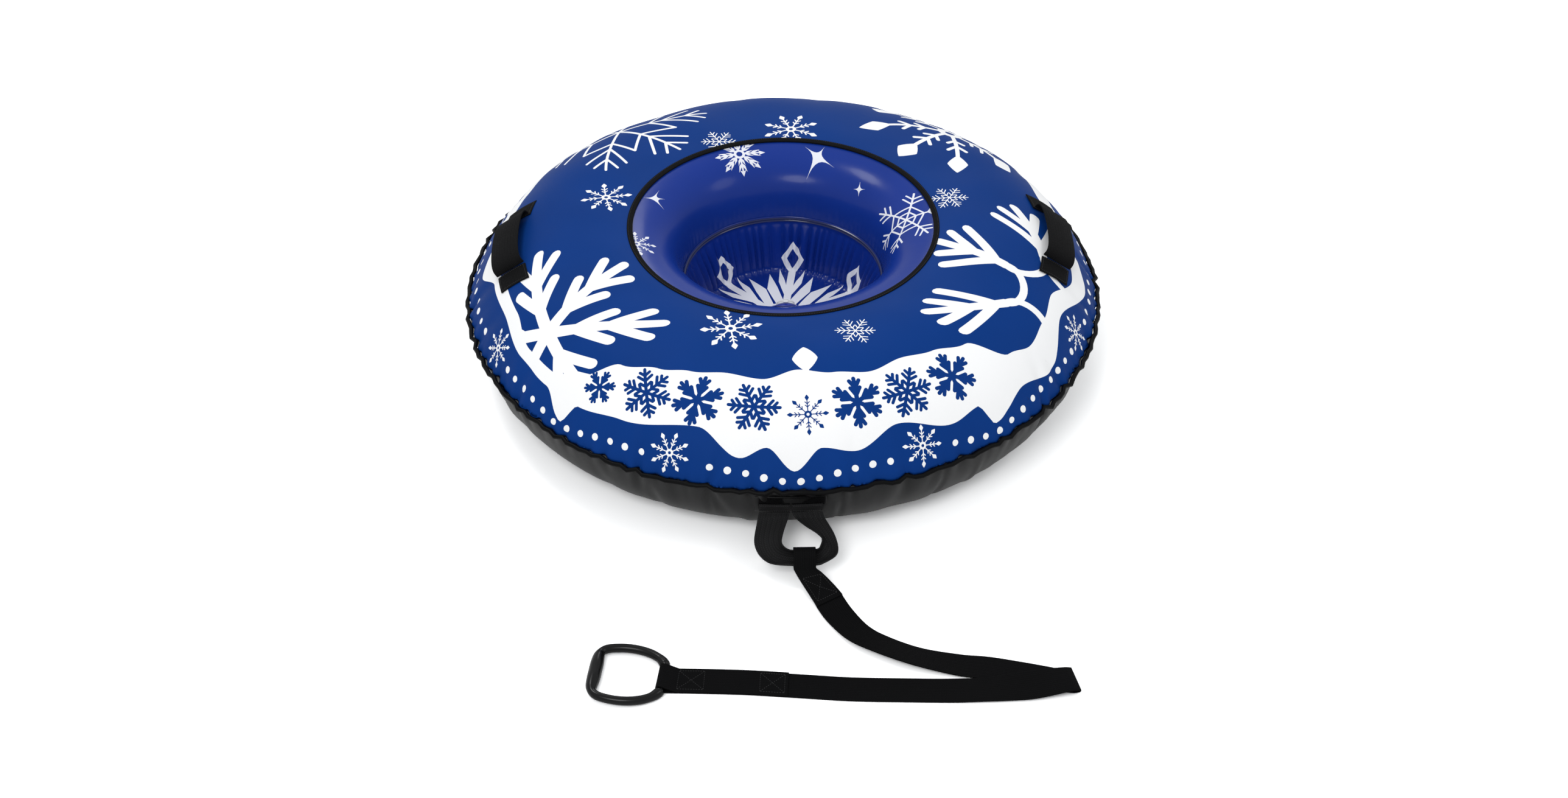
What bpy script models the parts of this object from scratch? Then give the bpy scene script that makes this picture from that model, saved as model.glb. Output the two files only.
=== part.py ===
"""Inflatable snow tube: air chamber, welded seat, two-panel cover, grab handles and tow leash.

Metres, +Z up. The origin lies on the ground at the tube's axis, and the tow loop faces -Y.
Every piece is one named object. Lengths are named here, and each place is worked out from them.
"""

import math

import bmesh
import bpy
import numpy as np
from mathutils import Matrix, Vector

# The tube, blown up: a ring whose section is drawn by four curves through these points
OUTER_RADIUS = 0.550
SEAM_HEIGHT = 0.129
TUBE_HEIGHT = 0.2695
CREST_RADIUS = 0.318
HOLE_RADIUS = 0.263
WELD_RADIUS = 0.176
WELD_HEIGHT = 0.155
REST_RADIUS = 0.432
REST_INNER_RADIUS = 0.300
# How far each curve runs on in the direction in which it leaves its end
TOP_REACH = 0.128
SEAM_REACH = 0.087
SEAM_SLOPE_DEG = 67
INNER_REACH = 0.106
INNER_RISE = 0.079
LOWER_REACH = 0.037
LOWER_SLOPE_DEG = 86
REST_REACH = 0.092
UNDER_REACH = 0.060

# Cloth, film and tape
COVER_THICKNESS = 0.0008
BASE_THICKNESS = 0.0010
CHAMBER_THICKNESS = 0.0006
FLOOR_THICKNESS = 0.0006
TAPE_THICKNESS = 0.0006
BINDING_THICKNESS = 0.0008
BINDING_WIDTH = 0.0085
PIPING_RADIUS = 0.0035
SEAM_ALLOWANCE = 0.010
GAP = 0.0003

# Seat
FLOOR_RADIUS = 0.143
FLOOR_HEIGHT = 0.061
FLOOR_CORNER = 0.010
PLEAT_DEPTH = 0.0025
FLANGE_WIDTH = 0.012
WELD_WIDTH = 0.008
WELD_THICKNESS = 0.0006

# Grab handles, one on each side
HANDLE_ARC = 0.165
GRIP_SPAN = 0.146
GRIP_WIDTH = 0.058
GRIP_THICKNESS = 0.0025
GRIP_RISE = 0.036
GRIP_LEAN_DEG = 32
GRIP_TILT_GAP = 0.0010
PATCH_LENGTH = 0.042
PATCH_THICKNESS = 0.0020

# Tow loop, leash and ring
WEBBING_WIDTH = 0.050
WEBBING_THICKNESS = 0.0020
TOW_PATCH_WIDTH = 0.116
TOW_PATCH_TOP_ARC = 0.012
TOW_PATCH_HEIGHT = 0.042
TOW_PATCH_THICKNESS = 0.0008
TAB_TOP_ARC = 0.030
TAB_HEIGHT = 0.020
TAB_SPACING = 0.0525
LOOP_ROOT_GAP = 0.0018
BIGHT_OFFSET = 0.0205
BIGHT_REACH = 0.061
BIGHT_DROP = 0.0467
BUNDLE_RADIUS = 0.0125
EYE_PLAY = 0.0012
EYE_WIDTH = 0.036
LAYER_STEP = 0.0024
LOOP_FLAP_LENGTH = 0.068
RING_FLAP_LENGTH = 0.195
RING_EYE_LENGTH = 0.020
RING_BAR_RADIUS = 0.0050
RING_COLLAR_RADIUS = 0.0080
RING_ARM_RADIUS = 0.0070
RING_GRIP_END_RADIUS = 0.0090
RING_GRIP_RADIUS = 0.0105
RING_BAR_LENGTH = 0.053
RING_LENGTH = 0.104
RING_WIDTH = 0.107
RING_GRIP_LENGTH = 0.064
RING_YAW_DEG = 172

# Valve on the chamber's inner wall, at the front
VALVE_ARC = 0.070
VALVE_FLANGE_RADIUS = 0.026
VALVE_FLANGE_THICKNESS = 0.0010
VALVE_LIFT = 0.0007
NECK_BORE_RADIUS = 0.0125
NECK_WALL = 0.0028
NECK_HEIGHT = 0.0070
NECK_DEPTH = 0.0130
VALVE_BODY_LIP = 0.0020
VALVE_BODY_DEPTH = 0.0150
VALVE_BODY_WALL = 0.0028
VALVE_SEAT_THICKNESS = 0.0020
VALVE_STEM_RADIUS = 0.0015
VALVE_STEM_LENGTH = 0.0060
VALVE_AIR_HOLE_RADIUS = 0.0018
VALVE_AIR_HOLE_CIRCLE = 0.0055
DIAPHRAGM_RADIUS = 0.0088
DIAPHRAGM_THICKNESS = 0.0010
CAP_THICKNESS = 0.0024
CAP_PLUG_DEPTH = 0.0030
CAP_PLUG_PLAY = 0.0008
EAR_WIDTH = 0.0080
EAR_THICKNESS = 0.0012
HINGE_OFFSET = 0.0050
TETHER_RIM = 0.0030
TETHER_DROP = 0.0030

MERGE = 0.0001
OVERRUN = 0.004
SEGMENTS = 56
VALVE_SEGMENTS = 20
FRONT = -math.pi / 2

# The leash lies on the ground: place of its middle, heading of its width, and its roll
STRAP_ROUTE = [
    (0.0205, -0.6300, 0.0330, 0, 0),
    (0.0340, -0.6450, 0.0230, 22, 0),
    (0.0535, -0.6690, 0.0095, 33, 0),
    (0.0730, -0.7060, 0.0040, 33, -3),
    (0.1007, -0.7490, 0.0060, 42, -8),
    (0.1363, -0.7770, 0.0075, 57, -12),
    (0.1885, -0.8040, 0.0075, 67, -12),
    (0.2500, -0.8195, 0.0035, 74, -5),
    (0.2952, -0.8262, 0.0018, 77, -1),
    (0.3400, -0.8370, 0.0013, 80, 0),
    (0.3900, -0.8500, 0.0013, 90, 0),
    (0.4200, -0.8575, 0.0016, 100, 0),
    (0.4283, -0.8600, 0.0075, 102, 0),
    (0.4200, -0.8635, 0.0134, 99, 0),
    (0.3642, -0.8725, 0.0120, 93, 14),
    (0.3272, -0.8735, 0.0075, 91, 8),
    (0.2873, -0.8745, 0.0044, 90, 0),
    (0.2400, -0.8735, 0.0022, 89, 0),
    (0.1788, -0.8708, 0.0013, 88, 0),
    (0.0860, -0.8664, 0.0013, 87, 0),
    (0.0118, -0.8586, 0.0013, 86, 0),
    (-0.0700, -0.8500, 0.0013, 87, 0),
    (-0.1400, -0.8455, 0.0013, 86, 0),
    (-0.2041, -0.8427, 0.0013, 82, 0),
]
ROUTE_STEP = 0.020

# The tow loop from its left tab to its right one: sideways in webbing widths, how much of the
# reach and drop to the bight it has made, the turn of its width in degrees, and its curl
LOOP_SHARES = [
    (-0.525, 0.00, 0.00, 0, 0.0),
    (-0.585, 0.08, 0.26, 4, 0.0),
    (-0.725, 0.61, 0.57, 20, 0.2),
    (-0.540, 0.90, 0.87, 55, 0.6),
    (-0.080, 1.00, 1.00, 90, 1.0),
    (0.410, 1.00, 1.00, 90, 1.0),
    (0.800, 1.00, 1.00, 90, 1.0),
    (0.980, 0.95, 0.94, 100, 0.9),
    (1.200, 0.77, 0.72, 130, 0.6),
    (0.965, 0.48, 0.40, 160, 0.2),
    (0.625, 0.08, 0.21, 176, 0.0),
    (0.525, 0.00, 0.00, 180, 0.0),
]
LOOP_STEP = 0.012


def clear_scene():
    for old in list(bpy.data.objects):
        bpy.data.objects.remove(old, do_unlink=True)
    for old in list(bpy.data.collections):
        bpy.data.collections.remove(old)


def collection(name):
    made = bpy.data.collections.new(name)
    bpy.context.scene.collection.children.link(made)
    return made


clear_scene()
PARTS = collection("snow_tube")
CUTTERS = collection("cutters")


def material(name, colour, roughness, metallic=0.0):
    made = bpy.data.materials.new(name)
    made.use_nodes = True
    shader = made.node_tree.nodes["Principled BSDF"]
    shader.inputs["Base Color"].default_value = (*colour, 1.0)
    shader.inputs["Roughness"].default_value = roughness
    shader.inputs["Metallic"].default_value = metallic
    return made


COVER_BLUE = (0.006, 0.045, 0.21)
FILM_BLUE = (0.012, 0.030, 0.33)
FLOOR_BLUE = (0.006, 0.018, 0.20)
BLACK_CLOTH = (0.012, 0.012, 0.013)
BLACK_WEBBING = (0.008, 0.008, 0.009)
BLACK_PLASTIC = (0.010, 0.010, 0.011)
WHITE_PLASTIC = (0.60, 0.60, 0.58)


def place(made, name, colour, roughness):
    """Name an object, give it a material of its own and file it with the parts."""
    made.name = name
    made.data.name = name
    made.data.materials.clear()
    made.data.materials.append(material(name, colour, roughness))
    for old in list(made.users_collection):
        old.objects.unlink(made)
    PARTS.objects.link(made)
    return made


def make_cutter(made, matrix):
    """File a helper solid with the cutters, where the build leaves it out."""
    made.matrix_world = matrix
    made.hide_render = True
    made.display_type = "WIRE"
    for old in list(made.users_collection):
        old.objects.unlink(made)
    CUTTERS.objects.link(made)


def mesh_object(name, mesh):
    made = bpy.data.objects.new(name, mesh)
    bpy.context.scene.collection.objects.link(made)
    return made


# Curves in the section plane: x is the radius and y the height


def bezier(curve, t):
    a, b, c, d = [np.array(p) for p in curve]
    u = 1 - t
    return u**3 * a + 3 * u * u * t * b + 3 * u * t * t * c + t**3 * d


def bezier_slope(curve, t):
    a, b, c, d = [np.array(p) for p in curve]
    u = 1 - t
    return 3 * u * u * (b - a) + 6 * u * t * (c - b) + 3 * t * t * (d - c)


def left_normal(direction):
    x, y = direction
    return np.array((-y, x)) / math.hypot(x, y)


def outer_normal(curve, t):
    return left_normal(bezier_slope(curve, t))


def arc_table(curve, count=200):
    ts = np.linspace(0, 1, count + 1)
    points = np.array([bezier(curve, t) for t in ts])
    arcs = np.concatenate(([0], np.cumsum(np.hypot(*np.diff(points, axis=0).T))))
    return ts, arcs


def at_arc(curve, arc):
    """Point and outward normal at an arc length from the curve's start."""
    ts, arcs = arc_table(curve)
    t = float(np.interp(arc, arcs, ts))
    return bezier(curve, t), outer_normal(curve, t)


def mitred(points, closed=False):
    """Mitre vectors of a path: each point moved along its own keeps the path's spacing."""
    count = len(points)
    vectors = []
    for i, point in enumerate(points):
        before = points[i - 1] if closed or i else None
        after = points[(i + 1) % count] if closed or i < count - 1 else None
        normals = []
        if before is not None:
            normals.append(left_normal(point - before))
        if after is not None:
            normals.append(left_normal(after - point))
        total = sum(normals) / len(normals)
        vectors.append(total / np.dot(total, total))
    return vectors


def thickened(path, thickness):
    """Closed outline of a strip of cloth that runs along an open path."""
    path = [np.array(p, float) for p in path]
    vectors = mitred(path)
    left = [p + v * thickness / 2 for p, v in zip(path, vectors)]
    right = [p - v * thickness / 2 for p, v in zip(path, vectors)]
    return left + right[::-1]


def dish(path, thickness):
    """Outline of a strip of cloth whose path ends on the axis: it starts and ends there."""
    outline = thickened(path, thickness)
    half = len(outline) // 2
    return outline[half:] + outline[:half]


def turned(name, outlines, colour, roughness, steps=SEGMENTS, open_ends=False):
    """Turn outlines, each clockwise in the section plane, about the axis with a Screw modifier."""
    mesh = bpy.data.meshes.new(name)
    points = []
    edges = []
    for outline in outlines:
        first = len(points)
        points += [(float(r), 0.0, float(z)) for r, z in outline]
        edges += [(i, i + 1) for i in range(first, len(points) - 1)]
        if not open_ends:
            edges.append((len(points) - 1, first))
    mesh.from_pydata(points, edges, [])
    made = place(mesh_object(name, mesh), name, colour, roughness)
    screw = made.modifiers.new("turn", "SCREW")
    screw.axis = "Z"
    screw.steps = steps
    screw.render_steps = steps
    screw.use_merge_vertices = True
    screw.merge_threshold = MERGE
    screw.use_smooth_shade = True
    return made


def sheet(name, columns, rows, point_at, thickness, offset, colour, roughness):
    """A strip of cloth: a grid laid on a surface by point_at(u, v), then made thick."""
    mesh = bpy.data.meshes.new(name)
    grid = bmesh.new()
    bmesh.ops.create_grid(grid, x_segments=columns, y_segments=rows, size=1)
    for vertex in grid.verts:
        vertex.co = point_at(vertex.co.x, vertex.co.y)
    grid.to_mesh(mesh)
    grid.free()
    made = place(mesh_object(name, mesh), name, colour, roughness)
    thick = made.modifiers.new("thickness", "SOLIDIFY")
    thick.thickness = thickness
    thick.offset = offset
    thick.use_even_offset = True
    return made


def loft(name, rings, closed, colour, roughness):
    """Faces between rings of points: back to the first ring if closed, else with a floor."""
    mesh = bpy.data.meshes.new(name)
    lofted = bmesh.new()
    loops = [[lofted.verts.new(p) for p in ring] for ring in rings]
    following = loops[1:] + loops[:1] if closed else loops[1:]
    count = len(rings[0])
    for ring, target in zip(loops, following):
        for i in range(count):
            j = (i + 1) % count
            lofted.faces.new((ring[i], ring[j], target[j], target[i]))
    if not closed:
        lofted.faces.new(loops[-1])
    bmesh.ops.recalc_face_normals(lofted, faces=lofted.faces)
    lofted.to_mesh(mesh)
    lofted.free()
    return place(mesh_object(name, mesh), name, colour, roughness)


# Section curves of the cover and of the air chamber inside it
LAYER = CHAMBER_THICKNESS / 2 + GAP + COVER_THICKNESS / 2
RIM_LAYER = LAYER + BINDING_THICKNESS + GAP
HEM_RISE = TAPE_THICKNESS / 2 + GAP + COVER_THICKNESS / 2
SEAM_SLOPE = math.radians(SEAM_SLOPE_DEG)
LOWER_SLOPE = math.radians(LOWER_SLOPE_DEG)
REST_LEVEL = BASE_THICKNESS / 2
TOP_CURVE = (
    (CREST_RADIUS, TUBE_HEIGHT),
    (CREST_RADIUS + TOP_REACH, TUBE_HEIGHT),
    (
        OUTER_RADIUS - SEAM_REACH * math.cos(SEAM_SLOPE),
        SEAM_HEIGHT + HEM_RISE + SEAM_REACH * math.sin(SEAM_SLOPE),
    ),
    (OUTER_RADIUS, SEAM_HEIGHT + HEM_RISE),
)
LOWER_CURVE = (
    (OUTER_RADIUS, SEAM_HEIGHT - HEM_RISE),
    (
        OUTER_RADIUS - LOWER_REACH * math.cos(LOWER_SLOPE),
        SEAM_HEIGHT - HEM_RISE - LOWER_REACH * math.sin(LOWER_SLOPE),
    ),
    (REST_RADIUS + REST_REACH, REST_LEVEL),
    (REST_RADIUS, REST_LEVEL),
)
INNER_CURVE = (
    (WELD_RADIUS, WELD_HEIGHT),
    (WELD_RADIUS, WELD_HEIGHT + INNER_RISE),
    (CREST_RADIUS - INNER_REACH, TUBE_HEIGHT - LAYER),
    (CREST_RADIUS, TUBE_HEIGHT - LAYER),
)
UNDER_CURVE = (
    (REST_INNER_RADIUS, REST_LEVEL + LAYER),
    (REST_INNER_RADIUS - UNDER_REACH, REST_LEVEL + LAYER),
    (WELD_RADIUS, WELD_HEIGHT - INNER_RISE),
    (WELD_RADIUS, WELD_HEIGHT),
)
TOP_SHARES = [0.14, 0.28, 0.42, 0.55, 0.68, 0.84]
LOWER_SHARES = [0.20, 0.40, 0.60, 0.80]
WALL_SHARES = [0.22, 0.42, 0.60, 0.76]
UNDER_SHARES = [0.35, 0.70]


def rim_share():
    """Where the cover's hole edge lies along the inner curve."""
    ts = np.linspace(0, 1, 401)
    radii = [bezier(INNER_CURVE, t)[0] for t in ts]
    return float(np.interp(HOLE_RADIUS, radii, ts))


RIM = rim_share()
SHOULDER = (RIM + 1) / 2


def above(curve, t, distance):
    return bezier(curve, t) + outer_normal(curve, t) * distance


def cover_path():
    path = [above(INNER_CURVE, RIM, RIM_LAYER), above(INNER_CURVE, SHOULDER, RIM_LAYER)]
    path += [bezier(TOP_CURVE, t) for t in [0, *TOP_SHARES, 1]]
    path.append(np.array((OUTER_RADIUS - SEAM_ALLOWANCE, SEAM_HEIGHT + HEM_RISE)))
    return path


def base_path():
    path = [np.array((OUTER_RADIUS - SEAM_ALLOWANCE, SEAM_HEIGHT - HEM_RISE))]
    path += [bezier(LOWER_CURVE, t) for t in [0, *LOWER_SHARES, 1]]
    path.append(np.array((0.0, REST_LEVEL)))
    return path


def chamber_path():
    wall = [bezier(INNER_CURVE, t * RIM) for t in [0, *WALL_SHARES, 1]]
    wall += [bezier(INNER_CURVE, SHOULDER), bezier(INNER_CURVE, 1)]
    top = [above(TOP_CURVE, t, -LAYER) for t in TOP_SHARES]
    tip = [np.array((OUTER_RADIUS - SEAM_ALLOWANCE - PIPING_RADIUS, SEAM_HEIGHT))]
    lower = [above(LOWER_CURVE, t, -LAYER) for t in LOWER_SHARES]
    rest = [np.array((REST_RADIUS, REST_LEVEL + LAYER))]
    under = [bezier(UNDER_CURVE, t) for t in [0, *UNDER_SHARES]]
    return wall + top + tip + lower + rest + under


def make_tube():
    path = chamber_path()
    vectors = mitred(path, closed=True)
    outside = [p + v * CHAMBER_THICKNESS / 2 for p, v in zip(path, vectors)]
    inside = [p - v * CHAMBER_THICKNESS / 2 for p, v in zip(path, vectors)]
    chamber = turned("inner_tube", [outside, inside[::-1]], FILM_BLUE, 0.22)

    turned("top_cover", [thickened(cover_path(), COVER_THICKNESS)], COVER_BLUE, 0.38)

    turned("bottom_cover", [dish(base_path(), BASE_THICKNESS)], BLACK_CLOTH, 0.5, open_ends=True)
    return chamber


def make_seams():
    path = cover_path()
    rim, next_point = path[0], path[1]
    along = (next_point - rim) / np.linalg.norm(next_point - rim)
    up = left_normal(along)
    reach = COVER_THICKNESS / 2 + GAP + BINDING_THICKNESS / 2
    fold = [
        rim + along * BINDING_WIDTH - up * reach,
        rim - up * reach,
        rim - along * reach,
        rim + up * reach,
        rim + along * BINDING_WIDTH + up * reach,
    ]
    turned("rim_binding", [thickened(fold, BINDING_THICKNESS)], BLACK_WEBBING, 0.7)

    centre = OUTER_RADIUS + COVER_THICKNESS + GAP + PIPING_RADIUS
    half_tape = TAPE_THICKNESS / 2
    neck = centre - PIPING_RADIUS * math.cos(math.radians(30))
    bead = []
    for step in range(6):
        angle = math.radians(150 - 60 * step)
        bead.append((centre + PIPING_RADIUS * math.cos(angle), SEAM_HEIGHT + PIPING_RADIUS * math.sin(angle)))
    tape = [
        (neck, SEAM_HEIGHT - half_tape),
        (OUTER_RADIUS - SEAM_ALLOWANCE, SEAM_HEIGHT - half_tape),
        (OUTER_RADIUS - SEAM_ALLOWANCE, SEAM_HEIGHT + half_tape),
        (neck, SEAM_HEIGHT + half_tape),
    ]
    turned("seam_piping", [bead + tape], BLACK_CLOTH, 0.35)


def make_seat():
    flange = WELD_RADIUS - CHAMBER_THICKNESS / 2 - GAP - FLOOR_THICKNESS / 2
    fall = WELD_HEIGHT - FLANGE_WIDTH / 2 - FLOOR_HEIGHT - FLOOR_CORNER
    slope = flange - FLOOR_RADIUS - FLOOR_CORNER / 2
    rows = [(flange, WELD_HEIGHT + FLANGE_WIDTH / 2, 0), (flange, WELD_HEIGHT - FLANGE_WIDTH / 2, 0)]
    for share in (0.35, 0.75, 1):
        height = WELD_HEIGHT - FLANGE_WIDTH / 2 - fall * share
        rows.append((flange - slope * share, height, PLEAT_DEPTH * share))
    rows.append((FLOOR_RADIUS, FLOOR_HEIGHT, PLEAT_DEPTH / 2))
    rows.append((FLOOR_RADIUS - FLOOR_CORNER, FLOOR_HEIGHT, 0))
    rings = []
    for radius, height, depth in rows:
        ring = []
        for i in range(SEGMENTS):
            turn = 2 * math.pi * i / SEGMENTS
            pleated = radius + depth * (1 if i % 2 else -1)
            ring.append((pleated * math.cos(turn), pleated * math.sin(turn), height))
        rings.append(ring)
    seat = loft("seat_floor", rings, False, FLOOR_BLUE, 0.3)
    thick = seat.modifiers.new("thickness", "SOLIDIFY")
    thick.thickness = FLOOR_THICKNESS
    thick.offset = 0
    thick.use_even_offset = True

    outer = flange - FLOOR_THICKNESS / 2 - GAP
    low = WELD_HEIGHT - WELD_WIDTH / 2
    high = WELD_HEIGHT + WELD_WIDTH / 2
    strip = [(outer - WELD_THICKNESS, high), (outer, high), (outer, low), (outer - WELD_THICKNESS, low)]
    turned("seat_weld", [strip], FILM_BLUE, 0.25)


def on_shell(curve, arc, angle, lift):
    """Point on a turned surface, raised along its outward normal."""
    point, normal = at_arc(curve, arc)
    radius = point[0] + normal[0] * lift
    return Vector((radius * math.cos(angle), radius * math.sin(angle), point[1] + normal[1] * lift))


def shell_patch(name, curve, arc, angle, offset, length, width, lift, thickness, columns, rows, colour, roughness):
    """A rectangle of cloth on the tube: its length runs straight past the angle's line, at an offset."""

    def point_at(u, v):
        point, normal = at_arc(curve, arc - v * width / 2)
        turn = math.asin((offset + u * length / 2) / (point[0] + normal[0] * lift))
        return on_shell(curve, arc - v * width / 2, angle + turn, lift)

    return sheet(name, columns, rows, point_at, thickness, 1, colour, roughness)


def make_handles():
    point, normal = at_arc(TOP_CURVE, HANDLE_ARC)
    radius = point[0]
    half_chord = GRIP_SPAN / 2
    root_turn = math.asin(half_chord / radius)
    lift = COVER_THICKNESS / 2 + GAP + GRIP_TILT_GAP + GRIP_THICKNESS / 2
    lean = math.radians(GRIP_LEAN_DEG)
    for side, name in ((0, "right"), (math.pi, "left")):
        outward = Vector((math.cos(side), math.sin(side), 0))
        along = Vector((-math.sin(side), math.cos(side), 0))
        rise = outward * normal[0] + Vector((0, 0, normal[1]))
        down = outward * normal[1] - Vector((0, 0, normal[0]))
        chord = outward * point[0] * math.cos(root_turn) + Vector((0, 0, point[1])) + rise * lift

        def grip_point(u, v):
            turn = math.pi * (u + 1) / 2
            tilt = lean * math.sin(turn)
            height = GRIP_RISE * max(math.sin(turn), 0) ** 0.75
            middle = chord - along * half_chord * math.cos(turn)
            middle += (rise * math.cos(tilt) + down * math.sin(tilt)) * height
            across = down * math.cos(tilt) - rise * math.sin(tilt)
            return middle - across * v * GRIP_WIDTH / 2

        grip = sheet(name + "_grip", 14, 2, grip_point, GRIP_THICKNESS, 0, BLACK_WEBBING, 0.75)
        set_origin(grip, chord)

        patch_offset = half_chord + GAP * 3 + PATCH_LENGTH / 2
        front = -1 if side == 0 else 1
        for end, offset in (("front", front * patch_offset), ("rear", -front * patch_offset)):
            shell_patch(
                name + "_" + end + "_patch",
                TOP_CURVE,
                HANDLE_ARC,
                side,
                offset,
                PATCH_LENGTH,
                GRIP_WIDTH,
                COVER_THICKNESS / 2 + GAP,
                PATCH_THICKNESS,
                3,
                3,
                BLACK_WEBBING,
                0.75,
            )


def set_origin(made, point):
    """Move an object's origin to its joint while its shape stays put."""
    made.data.transform(Matrix.Translation(-point))
    made.location = point


def smooth_route(rows, step):
    """Catmull-Rom curve through rows of numbers, with a point about every step."""
    rows = [np.array(row, float) for row in rows]
    padded = [2 * rows[0] - rows[1], *rows, 2 * rows[-1] - rows[-2]]
    path = []
    for a, b, c, d in zip(padded, padded[1:], padded[2:], padded[3:]):
        count = max(2, round(float(np.linalg.norm((c - b)[:3])) / step))
        for i in range(count):
            t = i / count
            path.append(
                0.5 * (2 * b + (c - a) * t + (2 * a - 5 * b + 4 * c - d) * t * t + (3 * b - a - 3 * c + d) * t**3)
            )
    path.append(rows[-1])
    return path


def band(name, stations, rows, thickness, colour, roughness):
    """Webbing laid through stations: middle, direction of its width, half width, curl and up."""
    last = len(stations) - 1

    def point_at(u, v):
        middle, across, half, curl, up = stations[round((u + 1) / 2 * last)]
        if curl == 0:
            return middle + across * v * half
        radius = 2 * half / curl
        angle = curl * v / 2
        return middle + across * radius * math.sin(angle) + up * radius * (1 - math.cos(angle))

    return sheet(name, last, rows, point_at, thickness, 0, colour, roughness)


def loop_root():
    """Where a leg of the tow loop leaves its sewn tab, on the lower panel."""
    arc = TAB_TOP_ARC + TAB_HEIGHT + LOOP_ROOT_GAP
    lift = BASE_THICKNESS / 2 + GAP + TOW_PATCH_THICKNESS + GAP + WEBBING_THICKNESS / 2
    return on_shell(LOWER_CURVE, arc, FRONT, lift)


LOOP_ROOT = loop_root()
BIGHT = LOOP_ROOT + Vector((BIGHT_OFFSET, -BIGHT_REACH, -BIGHT_DROP))


def loop_stations():
    full_curl = WEBBING_WIDTH / BUNDLE_RADIUS
    rows = []
    for sideways, reach, drop, turn, curl in LOOP_SHARES:
        y = LOOP_ROOT.y - BIGHT_REACH * reach
        z = LOOP_ROOT.z - BIGHT_DROP * drop
        rows.append((sideways * WEBBING_WIDTH, y, z, turn, curl * full_curl))
    inward = (LOOP_ROOT - BIGHT) * Vector((0, 1, 1))
    inward.normalize()
    up = Vector((1, 0, 0)).cross(inward)
    stations = []
    for row in smooth_route(rows, LOOP_STEP):
        turn = math.radians(row[3])
        across = Vector((math.cos(turn), 0, 0)) + inward * math.sin(turn)
        stations.append((Vector(row[:3]), across.normalized(), WEBBING_WIDTH / 2, max(float(row[4]), 0), up))
    return stations


def make_tow_loop():
    shell_patch(
        "tow_patch",
        LOWER_CURVE,
        TOW_PATCH_TOP_ARC + TOW_PATCH_HEIGHT / 2,
        FRONT,
        0,
        TOW_PATCH_WIDTH,
        TOW_PATCH_HEIGHT,
        BASE_THICKNESS / 2 + GAP,
        TOW_PATCH_THICKNESS,
        6,
        3,
        BLACK_PLASTIC,
        0.15,
    )
    lift = BASE_THICKNESS / 2 + GAP + TOW_PATCH_THICKNESS + GAP
    for name, side in (("left_tow_tab", -1), ("right_tow_tab", 1)):
        shell_patch(
            name,
            LOWER_CURVE,
            TAB_TOP_ARC + TAB_HEIGHT / 2,
            FRONT,
            side * TAB_SPACING / 2,
            WEBBING_WIDTH,
            TAB_HEIGHT,
            lift,
            WEBBING_THICKNESS,
            3,
            2,
            BLACK_WEBBING,
            0.75,
        )
    loop = band("tow_loop", loop_stations(), 6, WEBBING_THICKNESS, BLACK_WEBBING, 0.75)
    set_origin(loop, LOOP_ROOT)


def bundle_axis():
    """Middle of the gathered webbing at the loop's bight."""
    middle, across, half, curl, up = min(loop_stations(), key=lambda s: abs(s[0].x - BIGHT.x))
    return Vector((BIGHT.x, middle.y, middle.z)) + up * BUNDLE_RADIUS


def strap_station(row, half, raised=0.0):
    heading = math.radians(row[3])
    roll = math.radians(row[4])
    flat = Vector((math.cos(heading), math.sin(heading), 0))
    across = flat * math.cos(roll) + Vector((0, 0, math.sin(roll)))
    return Vector(row[:3]) + Vector((0, 0, raised)), across, half, 0, Vector((0, 0, 1))


def eye(centre, ahead, up, across, radius, start_deg, end_deg, half):
    """Stations round a bar: angles run from ahead towards up."""
    stations = []
    for step in range(9):
        angle = math.radians(start_deg + (end_deg - start_deg) * step / 8)
        point = centre + ahead * radius * math.cos(angle) + up * radius * math.sin(angle)
        stations.append((point, across, half, 0, up))
    return stations


def make_strap():
    route = smooth_route(STRAP_ROUTE, ROUTE_STEP)
    lengths = [0.0]
    for a, b in zip(route, route[1:]):
        lengths.append(lengths[-1] + float(np.linalg.norm((b - a)[:3])))
    total = lengths[-1]
    half = WEBBING_WIDTH / 2

    def half_at(length):
        share = min(length / LOOP_FLAP_LENGTH, 1)
        return (EYE_WIDTH + (WEBBING_WIDTH - EYE_WIDTH) * share) / 2

    stations = []
    for row, length in reversed(list(zip(route, lengths))):
        if length <= LOOP_FLAP_LENGTH:
            stations.append(strap_station(row, half_at(length), LAYER_STEP))
    bundle = bundle_axis()
    first = Vector(route[0][:3])
    ahead = Vector((0, first.y - bundle.y, first.z - bundle.z)).normalized()
    across = Vector((1, 0, 0))
    up = across.cross(ahead)
    if up.z < 0:
        up = -up
    radius = BUNDLE_RADIUS + WEBBING_THICKNESS + EYE_PLAY
    stations += eye(bundle, ahead, up, across, radius, 55, 305, EYE_WIDTH / 2)
    stations += [strap_station(row, half_at(length)) for row, length in zip(route[:-1], lengths)]

    end = route[-1]
    bar = ring_bar()
    heading = math.radians(end[3])
    across = Vector((math.cos(heading), math.sin(heading), 0))
    ahead = Vector((-across.y, across.x, 0))
    up = Vector((0, 0, 1))
    radius = bar.z - end[2]
    stations += eye(bar, ahead, up, across, radius, -90, 120, half)
    for row, length in reversed(list(zip(route, lengths))):
        if RING_EYE_LENGTH < total - length <= RING_FLAP_LENGTH:
            stations.append(strap_station(row, half, LAYER_STEP))
    strap = band("tow_strap", stations, 1, WEBBING_THICKNESS, BLACK_WEBBING, 0.75)
    set_origin(strap, bundle)


def ring_bar():
    """Middle of the ring's bar, inside the leash's eye."""
    end = STRAP_ROUTE[-1]
    return Vector((end[0], end[1], end[2] + WEBBING_THICKNESS / 2 + GAP * 2 + RING_BAR_RADIUS))


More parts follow.
